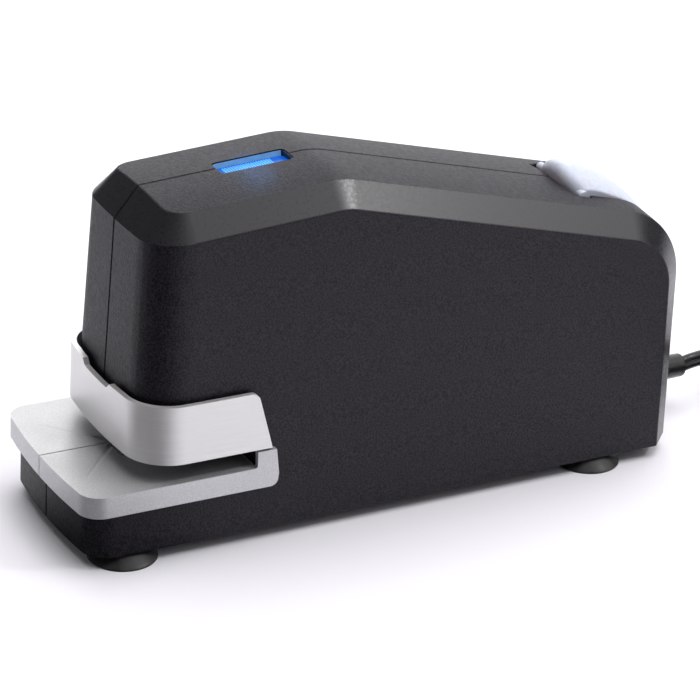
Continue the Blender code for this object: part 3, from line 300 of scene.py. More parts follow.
def tint(nodes, links, source, dark, light, start=0.3, end=0.7):
    """A colour between two, by a value."""
    ramp = nodes.new("ShaderNodeValToRGB")
    ramp.color_ramp.elements[0].position = start
    ramp.color_ramp.elements[0].color = (*dark, 1)
    ramp.color_ramp.elements[1].position = end
    ramp.color_ramp.elements[1].color = (*light, 1)
    links.new(source, ramp.inputs["Fac"])
    return ramp.outputs["Color"]


def bump(nodes, links, source, surface, depth, strength=1.0, below=None):
    """Relief on the surface from a value."""
    relief = nodes.new("ShaderNodeBump")
    relief.inputs["Strength"].default_value = strength
    relief.inputs["Distance"].default_value = depth
    links.new(source, relief.inputs["Height"])
    if below:
        links.new(below.outputs["Normal"], relief.inputs["Normal"])
    links.new(relief.outputs["Normal"], surface.inputs["Normal"])
    return relief


def tinted(nodes, links, grain, surface, dark, light, start=0.3, end=0.7):
    """Colour a surface between two colours by a noise."""
    colour = tint(nodes, links, grain.outputs["Fac"], dark, light, start, end)
    links.new(colour, surface.inputs["Base Color"])


def roughened(nodes, links, grain, surface, low, high):
    """Vary a surface's roughness by a noise."""
    rough = spread(nodes, links, grain.outputs["Fac"], low, high)
    links.new(rough, surface.inputs["Roughness"])


def grained_plastic():
    """Spark-eroded grain on near-black moulding, with a faint violet cast and small lighter flecks."""
    made, nodes, links, surface = shader("black_plastic_grain", (0.02, 0.018, 0.023), 0.5)
    surface.inputs["Specular IOR Level"].default_value = 0.3
    grain = noise(nodes, links, 1900, 2)
    clouds = noise(nodes, links, 700, 3)
    dark, light = (0.001, 0.0006, 0.0014), (0.02, 0.0168, 0.0265)
    tinted(nodes, links, grain, surface, dark, light, 0.38, 0.64)
    roughened(nodes, links, clouds, surface, 0.44, 0.54)
    coarse = bump(nodes, links, clouds.outputs["Fac"], surface, 0.03 * MM, 0.35)
    bump(nodes, links, grain.outputs["Fac"], surface, 0.13 * MM, 1.0, coarse)
    return made


def satin_plastic():
    """Smoother band along the chamfer: the same moulding, polished to a satin."""
    made, nodes, links, surface = shader("black_plastic_satin", (0.017, 0.016, 0.019), 0.3)
    surface.inputs["Specular IOR Level"].default_value = 0.55
    haze = noise(nodes, links, 900, 2)
    roughened(nodes, links, haze, surface, 0.26, 0.34)
    bump(nodes, links, haze.outputs["Fac"], surface, 0.002 * MM, 0.1)
    return made


def silver_paint():
    """Fine metallic lacquer: flake in the colour and the gloss."""
    made, nodes, links, surface = shader("silver_lacquer", (0.6, 0.6, 0.62), 0.42, 0.55)
    flake = noise(nodes, links, 2600, 1)
    cloud = noise(nodes, links, 90, 3)
    tinted(nodes, links, flake, surface, (0.52, 0.52, 0.53), (0.64, 0.64, 0.655))
    roughened(nodes, links, cloud, surface, 0.38, 0.46)
    bump(nodes, links, flake.outputs["Fac"], surface, 0.006 * MM, 0.3)
    return made


def collar_metal():
    """Satin silver collar with a fine horizontal brushing under the lacquer."""
    made, nodes, links, surface = shader("collar_silver", (0.66, 0.655, 0.655), 0.36, 0.6)
    brushed = noise(nodes, links, 60, 4, (1, 1, 60))
    tinted(nodes, links, brushed, surface, (0.7, 0.69, 0.69), (0.76, 0.75, 0.75))
    roughened(nodes, links, brushed, surface, 0.32, 0.42)
    bump(nodes, links, brushed.outputs["Fac"], surface, 0.004 * MM, 0.4)
    return made


def button_plastic():
    """Pale blue-grey satin plastic."""
    made, nodes, links, surface = shader("button_blue_grey", (0.56, 0.6, 0.7), 0.35)
    surface.inputs["Subsurface Weight"].default_value = 0.05
    mottle = noise(nodes, links, 700, 3)
    tinted(nodes, links, mottle, surface, (0.5, 0.53, 0.63), (0.58, 0.61, 0.7))
    roughened(nodes, links, mottle, surface, 0.3, 0.42)
    bump(nodes, links, mottle.outputs["Fac"], surface, 0.01 * MM, 0.3)
    return made


def rubber():
    """Soft black rubber with a dusty, uneven sheen."""
    made, nodes, links, surface = shader("foot_rubber", (0.022, 0.022, 0.022), 0.5)
    dust = noise(nodes, links, 380, 5)
    tinted(nodes, links, dust, surface, (0.016, 0.016, 0.016), (0.04, 0.04, 0.04))
    roughened(nodes, links, dust, surface, 0.38, 0.6)
    bump(nodes, links, dust.outputs["Fac"], surface, 0.02 * MM, 0.4)
    return made


def cord_vinyl():
    """Glossy black vinyl of the lead and plug."""
    made, nodes, links, surface = shader("cord_vinyl", (0.012, 0.012, 0.013), 0.25)
    ripple = noise(nodes, links, 240, 3)
    roughened(nodes, links, ripple, surface, 0.2, 0.34)
    bump(nodes, links, ripple.outputs["Fac"], surface, 0.02 * MM, 0.25)
    return made


def metal(name, dark, light, rough, stretch=(1, 1, 1), scale=300):
    """A bare or plated metal, with grain in its colour and gloss."""
    made, nodes, links, surface = shader(name, light, rough, 1.0)
    grain = noise(nodes, links, scale, 4, stretch)
    tinted(nodes, links, grain, surface, dark, light)
    roughened(nodes, links, grain, surface, rough * 0.8, rough * 1.3)
    bump(nodes, links, grain.outputs["Fac"], surface, 0.01 * MM, 0.3)
    return made


def moulded(name, dark, light, rough, scale=500):
    """A plain moulded plastic with a slight mottle."""
    made, nodes, links, surface = shader(name, light, rough)
    mottle = noise(nodes, links, scale, 3)
    tinted(nodes, links, mottle, surface, dark, light)
    roughened(nodes, links, mottle, surface, rough * 0.85, rough * 1.2)
    bump(nodes, links, mottle.outputs["Fac"], surface, 0.015 * MM, 0.3)
    return made


def lit_window(name, colour, strength, rough):
    """Blue plastic lit from inside, unevenly."""
    made, nodes, links, surface = shader(name, tuple(c * 0.3 for c in colour), rough)
    surface.inputs["Emission Strength"].default_value = strength
    glow = noise(nodes, links, 350, 2)
    light = tint(nodes, links, glow.outputs["Fac"], tuple(c * 0.75 for c in colour), colour)
    links.new(light, surface.inputs["Emission Color"])
    return made


# ---------------------------------------------------------------- mesh tools


def mesh_piece(name, bm, *finishes, smooth=35):
    """An object of a bmesh, with its materials and smooth rounds."""
    mesh = bpy.data.meshes.new(name)
    bm.to_mesh(mesh)
    bm.free()
    for finish in finishes:
        mesh.materials.append(finish)
    mesh.shade_smooth()
    mesh.set_sharp_from_angle(angle=math.radians(smooth))
    piece = bpy.data.objects.new(name, mesh)
    bpy.context.scene.collection.objects.link(piece)
    return piece


def box_mesh(low, high, bevel=0.0):
    """A bmesh box between two corners."""
    low, high = Vector(low), Vector(high)
    bm = bmesh.new()
    bmesh.ops.create_cube(bm, size=1)
    bmesh.ops.scale(bm, vec=high - low, verts=bm.verts)
    bmesh.ops.translate(bm, vec=(low + high) / 2, verts=bm.verts)
    if bevel:
        ease(bm, bm.edges[:], bevel, 2)
    return bm


def ease(bm, edges, offset, segments):
    """Round, or with one segment chamfer, some edges; returns the new faces."""
    made = bmesh.ops.bevel(
        bm,
        geom=edges,
        offset=offset,
        offset_type="OFFSET",
        segments=segments,
        profile=0.5,
        affect="EDGES",
        clamp_overlap=False,
        material=-1,
    )
    return made["faces"]


def cut(piece, *tools):
    """Cut some bmeshes out of a piece, for good."""
    for number, bm in enumerate(tools):
        tool = mesh_piece(f"{piece.name}_tool_{number}", bm)
        modifier = piece.modifiers.new("cut", "BOOLEAN")
        modifier.operation = "DIFFERENCE"
        modifier.solver = "EXACT"
        modifier.object = tool
        apply_all(piece)
        bpy.data.objects.remove(tool)


def apply_all(piece):
    """Turn a piece's modifiers into its mesh."""
    graph = bpy.context.evaluated_depsgraph_get()
    mesh = bpy.data.meshes.new_from_object(piece.evaluated_get(graph))
    piece.modifiers.clear()
    piece.data = mesh


def add_solid(piece, bm):
    """Join a bmesh solid to a piece."""
    tool = mesh_piece(f"{piece.name}_joined", bm)
    modifier = piece.modifiers.new("join", "BOOLEAN")
    modifier.operation = "UNION"
    modifier.solver = "EXACT"
    modifier.object = tool
    apply_all(piece)
    bpy.data.objects.remove(tool)


def give_wall(piece, thickness):
    """Give an open shell a wall, inwards."""
    wall = piece.modifiers.new("wall", "SOLIDIFY")
    wall.thickness = thickness
    wall.offset = -1
    wall.use_even_offset = True
    apply_all(piece)


def add_mesh(bm, other):
    """Put another bmesh's geometry into this one; the other is used up."""
    spare = bpy.data.meshes.new("spare")
    other.to_mesh(spare)
    other.free()
    bm.from_mesh(spare)
    bpy.data.meshes.remove(spare)


def base_middle(node):
    """Middle of a node's box in plan."""
    low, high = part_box(node)
    return (low[0] + high[0]) / 2, (low[1] + high[1]) / 2


def rounded(corners, step=math.radians(5)):
    """The outline through corners (a, b, radius), each rounded by an arc of its own radius."""
    outline = []
    for i, (a, b, radius) in enumerate(corners):
        here = Vector((a, b))
        if not radius:
            outline.append((a, b))
            continue
        back = (Vector(corners[i - 1][:2]) - here).normalized()
        ahead = (Vector(corners[(i + 1) % len(corners)][:2]) - here).normalized()
        half = back.angle(ahead) / 2
        centre = here + (back + ahead).normalized() * (radius / math.sin(half))
        start = here + back * (radius / math.tan(half)) - centre
        end = here + ahead * (radius / math.tan(half)) - centre
        turn = start.angle_signed(end)
        count = max(2, math.ceil(abs(turn) / step))
        for k in range(count + 1):
            point = centre + Matrix.Rotation(-turn * k / count, 2) @ start
            outline.append((point.x, point.y))
    return outline


def prism(outline, axis, low, high):
    """A bmesh outline, (y, z) along X or (x, y) along Z, extruded from low to high."""
    bm = bmesh.new()
    place = {"X": lambda a, b: (low, a, b), "Z": lambda a, b: (a, b, low)}[axis]
    ring = [bm.verts.new(place(a, b)) for a, b in outline]
    base = bm.faces.new(ring)
    grown = bmesh.ops.extrude_face_region(bm, geom=[base], use_keep_orig=True)["geom"]
    along = Vector((high - low, 0, 0)) if axis == "X" else Vector((0, 0, high - low))
    bmesh.ops.translate(bm, vec=along, verts=[g for g in grown if isinstance(g, bmesh.types.BMVert)])
    bmesh.ops.recalc_face_normals(bm, faces=bm.faces)
    return bm


def cylinder(start, end, radius, end_radius=None, sides=48):
    """A bmesh cylinder or cone between two points."""
    start, end = Vector(start), Vector(end)
    run = end - start
    bm = bmesh.new()
    far = radius if end_radius is None else end_radius
    place = Matrix.Translation((start + end) / 2) @ run.to_track_quat("Z", "Y").to_matrix().to_4x4()
    bmesh.ops.create_cone(
        bm, cap_ends=True, segments=sides, radius1=radius, radius2=far, depth=run.length, matrix=place
    )
    return bm


def turned(profile, place, turn=None, steps=64):
    """A bmesh spun from an (r, z) profile round Z, then turned and put in place."""
    bm = bmesh.new()
    ring = [bm.verts.new((r, 0, z)) for r, z in profile]
    edges = [bm.edges.new(pair) for pair in zip(ring, ring[1:])]
    bmesh.ops.spin(
        bm,
        geom=ring + edges,
        cent=(0, 0, 0),
        axis=(0, 0, 1),
        angle=2 * math.pi,
        steps=steps,
        use_merge=True,
    )
    bmesh.ops.remove_doubles(bm, verts=bm.verts, dist=0.001 * MM)
    bmesh.ops.recalc_face_normals(bm, faces=bm.faces)
    if turn:
        bmesh.ops.transform(bm, matrix=turn, verts=bm.verts)
    bmesh.ops.translate(bm, vec=place, verts=bm.verts)
    return bm


def slice_along(bm, places, normal):
    """Cut edges across a bmesh at several places, so that it can bend there."""
    for place in places:
        geometry = bm.verts[:] + bm.edges[:] + bm.faces[:]
        bmesh.ops.bisect_plane(
            bm, geom=geometry, dist=0.001 * MM, plane_co=Vector(normal) * place, plane_no=normal
        )


def corners_of(bm, least=40):
    """The outward edges that turn more than an angle."""
    bm.normal_update()
    limit = math.radians(least)
    return [e for e in bm.edges if len(e.link_faces) == 2 and e.is_convex and e.calc_face_angle(0) > limit]


def soften(piece, offset, segments=2, least=40, where=None):
    """Round the outward corners of a finished piece."""
    bm = bmesh.new()
    bm.from_mesh(piece.data)
    bmesh.ops.remove_doubles(bm, verts=bm.verts, dist=0.002 * MM)
    bmesh.ops.dissolve_limit(
        bm, angle_limit=math.radians(0.4), verts=bm.verts, edges=bm.edges, delimit={"MATERIAL"}
    )
    edges = [e for e in corners_of(bm, least) if where is None or where(e)]
    bmesh.ops.bevel(
        bm,
        geom=edges,
        offset=offset,
        offset_type="OFFSET",
        segments=segments,
        profile=0.5,
        affect="EDGES",
        clamp_overlap=True,
        material=-1,
    )
    bm.to_mesh(piece.data)
    bm.free()


def settle(piece, smooth=30):
    """Shade a piece smooth between its corners, with flat faces kept flat."""
    piece.data.shade_smooth()
    piece.data.set_sharp_from_angle(angle=math.radians(smooth))
    weighted = piece.modifiers.new("flat_faces", "WEIGHTED_NORMAL")
    weighted.keep_sharp = True
    weighted.weight = 80
    apply_all(piece)
    return piece


# ---------------------------------------------------------------- cord, coil, tie and plug


def smooth_route(points, parts):
    """Points on a smooth curve through the route, with parts to each stretch."""
    padded = [2 * points[0] - points[1], *points, 2 * points[-1] - points[-2]]
    path = []
    for p0, p1, p2, p3 in zip(padded, padded[1:], padded[2:], padded[3:]):
        for k in range(parts):
            t = k / parts
            path.append(
                0.5
                * (
                    2 * p1
                    + (p2 - p0) * t
                    + (2 * p0 - 5 * p1 + 4 * p2 - p3) * t**2
                    + (3 * p1 - p0 - 3 * p2 + p3) * t**3
                )
            )
    path.append(points[-1])
    return path


COIL_CENTRE = (COIL_LOW + COIL_HIGH) / 2
COIL_RADIUS = (COIL_HIGH.x - COIL_LOW.x) / 2 - CORD * COIL_LAYERS / 2
PLUG_X = (PLUG_LOW.x + PLUG_HIGH.x) / 2
PLUG_Z = (PLUG_LOW.z + PLUG_HIGH.z) / 2
TURN_POINTS = 24
TURN_PITCH = 5.25 * MM  # the turns bed into each other a little
FIRST_LEVEL = 3.2 * MM
SHIFT_SHARE = 0.2  # the last part of a turn, over which it moves to the next one's place
JOIN_SHARE = 0.3  # the first part of the first turn, over which the lead joins it
LIFT_HASTE = 1.15  # the tail reaches the plug's level a little before the plug


def coil_turns():
    """Radius and level of each turn: inwards, up, outwards, up and inwards again."""
    radii = [COIL_RADIUS + step * CORD for step in (1, 0, -1)]
    turns = []
    for layer in range(COIL_LAYERS):
        row = radii if layer % 2 == 0 else radii[::-1]
        turns += [(radius, FIRST_LEVEL + layer * TURN_PITCH) for radius in row]
    return turns


def eased(share):
    """A share of a move that starts and ends gently."""
    return share * share * (3 - 2 * share)


def by_coil(radius, angle, height):
    """Point at a radius and an angle from the coil's axis."""
    x = COIL_CENTRE.x + radius * math.cos(angle)
    return Vector((x, COIL_CENTRE.y + radius * math.sin(angle), height))


def cord_path():
    """Centre line of the lead: from the strain relief, through the coil, to the plug."""
    lead = smooth_route([Vector(point) * MM for point in CORD_ROUTE], 3)
    path = lead[:-3]
    turns = coil_turns()
    joins = lead[-1] - COIL_CENTRE
    start_radius = math.hypot(joins.x, joins.y)
    start = math.atan2(joins.y, joins.x)
    for number, (radius, level) in enumerate(turns):
        after = turns[min(number + 1, len(turns) - 1)]
        for k in range(TURN_POINTS):
            share = k / TURN_POINTS
            move = eased(max(0, (share - 1 + SHIFT_SHARE) / SHIFT_SHARE))
            here = radius + (after[0] - radius) * move
            height = level + (after[1] - level) * move
            if number == 0:
                join = eased(min(1, share / JOIN_SHARE))
                here = start_radius + (here - start_radius) * join
                height = lead[-1].z + (height - lead[-1].z) * join
            path.append(by_coil(here, start - math.tau * share, height))
    radius, level = turns[-1]
    tail = Vector((PLUG_X, PLUG_HIGH.y, PLUG_Z)) - Vector((COIL_CENTRE.x, COIL_CENTRE.y, 0))
    end_radius = math.hypot(tail.x, tail.y)
    sweep = start - math.atan2(tail.y, tail.x)
    steps = 10
    for k in range(steps):
        share = k / steps
        move = eased(share)
        here = radius + (end_radius - radius) * move
        height = level + (PLUG_Z - level) * eased(min(1, share * LIFT_HASTE))
        path.append(by_coil(here, start - sweep * share, height))
    path.append(Vector((PLUG_X, PLUG_HIGH.y + MM, PLUG_Z)))
    path.append(Vector((PLUG_X, PLUG_HIGH.y - 3 * MM, PLUG_Z)))
    return path


def twin_section():
    """Outline of the flat twin lead, tall way up: two round cores with a groove between them."""
    core = CORD_THICK / 2
    offset = CORD / 2 - core
    reach = math.asin(offset / core)
    points = 12
    outline = []
    for side, first in ((1, -reach), (-1, math.pi - reach)):
        for k in range(points):
            angle = first + (math.pi + 2 * reach) * k / points
            outline.append((core * math.cos(angle), side * offset + core * math.sin(angle)))
    return outline


def curve_of(name, points, closed=False, flat=False):
    """A curve object through some points."""
    data = bpy.data.curves.new(name, "CURVE")
    data.dimensions = "2D" if flat else "3D"
    data.fill_mode = "NONE" if flat else "FULL"
    spline = data.splines.new("POLY")
    spline.points.add(len(points) - 1)
    for spot, point in zip(spline.points, points):
        spot.co = (*point, 0, 1) if flat else (*point, 1)
    spline.use_cyclic_u = closed
    curve = bpy.data.objects.new(name, data)
    bpy.context.scene.collection.objects.link(curve)
    return curve


def swept(line):
    """A closed bmesh of a curve object's sweep; the curve is used up."""
    bpy.context.view_layer.update()
    mesh = bpy.data.meshes.new_from_object(line.evaluated_get(bpy.context.evaluated_depsgraph_get()))
    bpy.data.objects.remove(line)
    bm = bmesh.new()
    bm.from_mesh(mesh)
    bmesh.ops.remove_doubles(bm, verts=bm.verts, dist=0.001 * MM)
    bmesh.ops.recalc_face_normals(bm, faces=bm.faces)
    return bm


SPRING_ROOM = 0.45 * MM  # how much slimmer a spring is than the CAD's, to clear what it passes


def wire_spring(name, node, wire, turns, finish):
    """A coil spring along its node's box."""
    low, high = (Vector(corner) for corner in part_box(node))
    middle = (low + high) / 2
    along = max(range(3), key=lambda axis: high[axis] - low[axis])
    start, end = middle.copy(), middle.copy()
    start[along], end[along] = low[along], high[along]
    if along == 1:
        start, end = end, start
    radius = (high.x - low.x) / 2 - wire - SPRING_ROOM
    lie = (end - start).to_track_quat("Z", "Y")
    per_turn = 14
    count = turns * per_turn
    points = []
    for k in range(count + 1):
        angle = math.tau * k / per_turn
        climb = wire + ((end - start).length - 2 * wire) * k / count
        around = Vector((radius * math.cos(angle), radius * math.sin(angle), climb))
        points.append(start + lie @ around)
    line = curve_of(f"{name}_line", points)
    line.data.bevel_depth = wire
    line.data.bevel_resolution = 2
    line.data.use_fill_caps = True
    spring = mesh_piece(name, swept(line), finish, smooth=50)
    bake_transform(spring)
    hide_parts(node)


def twin_lead(finish):
    """The whole lead as one flat twin cord, swept along its route."""
    path = smooth_route(cord_path(), 2)
    section = curve_of("lead_section", twin_section(), closed=True, flat=True)
    line = curve_of("lead_line", path)
    line.data.twist_mode = "Z_UP"
    line.data.bevel_mode = "OBJECT"
    line.data.bevel_object = section
    line.data.use_fill_caps = True
    bm = swept(line)
    bpy.data.objects.remove(section)
    lead = mesh_piece("twin_lead", bm, finish, smooth=50)
    return lead, path


def coil_tie(finish):
    """Nylon tie round the coil's turns, with its locking head on top."""
    wide = 3.6 * MM
    thick = 0.45 * MM
    clear = 0.1 * MM
    bend = 1.5 * MM
    inner = COIL_RADIUS - CORD - CORD_THICK / 2 - clear
    outer = COIL_RADIUS + CORD + CORD_THICK / 2 + clear
    low = 0.5 * MM
    high = FIRST_LEVEL + (COIL_LAYERS - 1) * TURN_PITCH + CORD / 2
    loop = rounded([(outer, high, bend), (inner, high, bend), (inner, low, bend), (outer, low, bend)])
    bm = bmesh.new()
    ring = [bm.verts.new((r, -wide / 2, z)) for r, z in loop]
    edges = [bm.edges.new(pair) for pair in zip(ring, ring[1:] + ring[:1])]
    grown = bmesh.ops.extrude_edge_only(bm, edges=edges)["geom"]
    bmesh.ops.translate(bm, vec=(0, wide, 0), verts=[g for g in grown if isinstance(g, bmesh.types.BMVert)])
    bmesh.ops.recalc_face_normals(bm, faces=bm.faces)
    middle = Vector(((inner + outer) / 2, 0, (low + high) / 2))
    face = bm.faces[:][0]
    if face.normal.dot(face.calc_center_median() - middle) > 0:
        bmesh.ops.reverse_faces(bm, faces=bm.faces)
    bmesh.ops.solidify(bm, geom=bm.faces[:], thickness=thick)
    head_low = (inner + 5 * MM, -3 * MM, high)
    head_high = (inner + 10.5 * MM, 3 * MM, high + 3.2 * MM)
    add_mesh(bm, box_mesh(head_low, head_high, 0.5 * MM))
    turn = Matrix.Rotation(math.radians(235), 4, "Z")
    place = Matrix.Translation((COIL_CENTRE.x, COIL_CENTRE.y, 0)) @ turn
    bmesh.ops.transform(bm, matrix=place, verts=bm.verts)
    bmesh.ops.recalc_face_normals(bm, faces=bm.faces)
    return mesh_piece("coil_tie", bm, finish)


def plug(finish):
    """Moulded two-blade plug with finger grooves and a guard where the lead enters."""
    low, high = PLUG_LOW, PLUG_HIGH
    neck = 3 * MM
    shoulder = low.y + 6 * MM
    corners = [
        (low.x + neck, high.y, 2 * MM),
        (low.x, shoulder, 2 * MM),
        (low.x, low.y, MM),
        (high.x, low.y, MM),
        (high.x, shoulder, 2 * MM),
        (high.x - neck, high.y, 2 * MM),
    ]
    bm = prism(rounded(corners), "Z", low.z, high.z)
    rims = [e for e in bm.edges if abs(e.verts[0].co.z - e.verts[1].co.z) < 0.01 * MM]
    ease(bm, rims, 1.6 * MM, 4)
    body = mesh_piece("plug_moulding", bm, finish)
    grooves = []
    for k in range(5):
        y = shoulder + (2.5 + 2.6 * k) * MM
        for z in (low.z - 0.4 * MM, high.z - 0.7 * MM):
            far_corner = (PLUG_X + 5 * MM, y + 1.2 * MM, z + 1.1 * MM)
            grooves.append(box_mesh((PLUG_X - 5 * MM, y, z), far_corner, 0.3 * MM))
    cut(body, *grooves)
    guard_radius = 4.4 * MM
    guard = turned(
        [
            (0, 0),
            (guard_radius, 0),
            (guard_radius - 0.2 * MM, 2 * MM),
            (guard_radius - 0.8 * MM, 2.3 * MM),
            (guard_radius - 0.8 * MM, 3.2 * MM),
            (guard_radius - 0.4 * MM, 3.5 * MM),
            (guard_radius - 0.6 * MM, 5.5 * MM),
            (guard_radius - 1.2 * MM, 6.5 * MM),
            (0, 6.5 * MM),
        ],
        (PLUG_X, high.y - 0.4 * MM, PLUG_Z),
        Matrix.Rotation(math.radians(-90), 4, "X"),
    )
    sleeve = mesh_piece("plug_guard", guard, finish)
    return settle(body), sleeve


def strain_relief(finish):
    """Tapered relief with a flange against the housing."""
    length = 20.5 * MM
    profile = [
        (0, length),
        (3.3 * MM, length),
        (3.7 * MM, length - 0.2 * MM),
        (3.84 * MM, length - 0.6 * MM),
        (4.1 * MM, 4.2 * MM),
        (4.5 * MM, 3.3 * MM),
        (5.1 * MM, 3 * MM),
        (5.4 * MM, 2.6 * MM),
        (5.4 * MM, 0.35 * MM),
        (3.8 * MM, 0.3 * MM),
        (3.8 * MM, -WALL - 0.3 * MM),
        (5 * MM, -WALL - 0.3 * MM),
        (5 * MM, -WALL - 3 * MM),
        (0, -WALL - 3 * MM),
    ]
    place = (0, REAR, CORD_Z)
    bm = turned(profile, place, Matrix.Rotation(math.radians(-90), 4, "X"))
    return mesh_piece("cord_relief", bm, finish, smooth=40)


def mains_cord():
    """Relief, lead, tie and plug, which ride on the housing."""
    vinyl = cord_vinyl()
    tie_nylon = moulded("tie_nylon", (0.02, 0.02, 0.022), (0.035, 0.035, 0.038), 0.4)
    relief = strain_relief(vinyl)
    lead, path = twin_lead(vinyl)
    tie = coil_tie(tie_nylon)
    moulding, guard = plug(vinyl)
    for piece in (relief, lead, tie, moulding, guard):
        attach(piece, "housing")
    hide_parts("strain_relief")
    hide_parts("power_cord", "cord_coil")
    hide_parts("plug_body")


# ---------------------------------------------------------------- housing halves


def top_z(y):
    """Height of the top surface at its edge, over the length."""
    slope = REAR_SLOPE if y > KINK_Y else FRONT_SLOPE
    return HEIGHT - CROWN + slope * (y - KINK_Y)


def side_x(z):
    """Half width of the housing at a height."""
    return SIDE_X - DRAFT * (z - BASE_Z)


def head_y(z):
    """Front of the head at a height: it leans back."""
    return HEAD_Y + HEAD_LEAN * (z - HEAD_Z)


def housing_corners():
    """Side profile of the housing, from the lower rear up, over the top and round the paper slot."""
    head_top = top_z(head_y(HEIGHT))
    return [
        (REAR, BASE_Z, 0),
        (REAR, top_z(REAR), REAR_RADIUS),
        (KINK_Y, top_z(KINK_Y), KINK_RADIUS),
        (head_y(head_top), top_z(head_y(head_top)), 0),
        (HEAD_Y, HEAD_Z, 0),
        (THROAT_Y, HEAD_Z, 1.5 * MM),
        (THROAT_Y, DECK_Z, 0),
        (BASE_FRONT, DECK_Z, 0),
        (BASE_FRONT, BASE_Z, 0),
    ]


CROWN_SKIN = 6 * MM  # the depth of top surface that is crowned
CROWN_LOW = 60 * MM  # the crown starts at this height and is full after its run
CROWN_RUN = 25 * MM
BOW_START = -50 * MM  # the fronts start to bow here, and the bow is full after its run
BOW_RUN = 15 * MM


def warp(vert):
    """Lean the sides in, crown the top and bow the fronts."""
    x, y, z = vert.co
    fall = max(0, 1 - (x / (SIDE_X - CHAMFER)) ** 2)
    rise = min(1, max(0, (z - top_z(y) + CHAMFER) / CROWN_SKIN))
    ahead = min(max((BOW_START - y) / BOW_RUN, 0), 1)
    bow = BASE_BOW if z < DECK_Z + MM else HEAD_BOW
    if z > CROWN_LOW:
        vert.co.z += CROWN * fall * rise * min(1, (z - CROWN_LOW) / CROWN_RUN)
    vert.co.y += bow * (x / SIDE_X) ** 2 * ahead
    vert.co.x = SEAM + (x - SEAM) * side_x(z) / SIDE_X


def on_band(vert):
    """Whether a vertex lies on the rear face, the rear corner or the top surface."""
    y, z = vert.co.y, vert.co.z
    near_corner = y > REAR - REAR_RADIUS * 1.2 and z > top_z(REAR) - REAR_RADIUS
    near_kink = abs(y - KINK_Y) < KINK_RADIUS and z > top_z(y) - MM
    return abs(y - REAR) < 0.01 * MM or near_corner or near_kink or abs(z - top_z(y)) < 0.05 * MM


def at_seam(edge):
    """Whether an edge lies on the seam between the halves."""
    return all(abs(abs(v.co.x) - SEAM) < 0.02 * MM for v in edge.verts)


def shell_half(name, side):
    """One half of the housing: grained faces, a satin chamfer band, softened edges and a fine seam."""
    bm = bmesh.new()
    ring = [bm.verts.new((SEAM, y, z)) for y, z in rounded(housing_corners(), math.radians(3))]
    edges = [bm.edges.new(pair) for pair in zip(ring, ring[1:] + ring[:1])]
    grown = bmesh.ops.extrude_edge_only(bm, edges=edges)["geom"]
    outer = [item for item in grown if isinstance(item, bmesh.types.BMVert)]
    bmesh.ops.translate(bm, verts=outer, vec=(SIDE_X - SEAM, 0, 0))
    rim = [e for e in bm.edges if all(v.co.x > SIDE_X / 2 for v in e.verts)]
    bmesh.ops.edgeloop_fill(bm, edges=rim)
    bmesh.ops.recalc_face_normals(bm, faces=bm.faces)

    tall = 15 * MM
    front = [e for e in rim if e.verts[0].co.y < THROAT_Y]
    upright = [e for e in front if abs(e.verts[0].co.z - e.verts[1].co.z) > tall]
    upright.sort(key=lambda e: e.verts[0].co.z)
    for radius, edge in zip((BASE_RADIUS, HEAD_RADIUS), upright):
        ease(bm, [edge], radius, 12)

    band = {f for f in bm.faces if all(on_band(v) for v in f.verts)}
    rim = []
    for edge in bm.edges:
        low = max(v.co.z for v in edge.verts) < BASE_Z + MM
        if len(edge.link_faces) == 2 and not low and sum(f in band for f in edge.link_faces) == 1:
            rim.append(edge)
    for face in ease(bm, rim, CHAMFER, 1):
        face.material_index = 1
    if max(bm.faces, key=lambda f: f.calc_area()).normal.x < 0:
        bmesh.ops.reverse_faces(bm, faces=bm.faces)

    slice_along(bm, [3 * k * MM for k in range(1, 8)], (1, 0, 0))
    for vert in bm.verts:
        warp(vert)
    if side < 0:
        bmesh.ops.scale(bm, vec=(-1, 1, 1), verts=bm.verts)
        bmesh.ops.reverse_faces(bm, faces=bm.faces)
    shell = mesh_piece(name, bm, FINISH["grain"], FINISH["satin"])
    give_wall(shell, WALL)

    bm = bmesh.new()
    bm.from_mesh(shell.data)
    ease(bm, [e for e in corners_of(bm) if not at_seam(e)], 0.45 * MM, 2)
    ease(bm, [e for e in corners_of(bm, 60) if at_seam(e)], 0.4 * MM, 1)
    bm.to_mesh(shell.data)
    bm.free()
    return shell


WINDOW_LENGTH = 23 * MM
WINDOW_WIDTH = 7.8 * MM
WINDOW_RADIUS = 1.6 * MM
RECESS_Y = 66.8 * MM
RECESS_REAR = 95.5 * MM
BUTTON_X = 12 * MM
PIVOT_Y = 71.4 * MM
PIVOT_Z = 86.4 * MM
PIVOT_RADIUS = 2 * MM
SCREW_SPOTS = [(-90, 12.5), (-30, 12.5), (86, 30), (50, 76), (-8, 97)]
BOSS_RADIUS = 3.4 * MM
FOOT_NAMES = [f"suction_foot_{end}_{side}" for end in ("front", "rear") for side in ("left", "right")]


def window_outline(grow):
    """Round-cornered outline of the indicator window, grown by a clearance."""
    x = WINDOW_WIDTH / 2 + grow
    y = WINDOW_LENGTH / 2 + grow
    corners = [(x, y), (-x, y), (-x, -y), (x, -y)]
    return rounded([(a, WINDOW_Y + b, WINDOW_RADIUS) for a, b in corners])


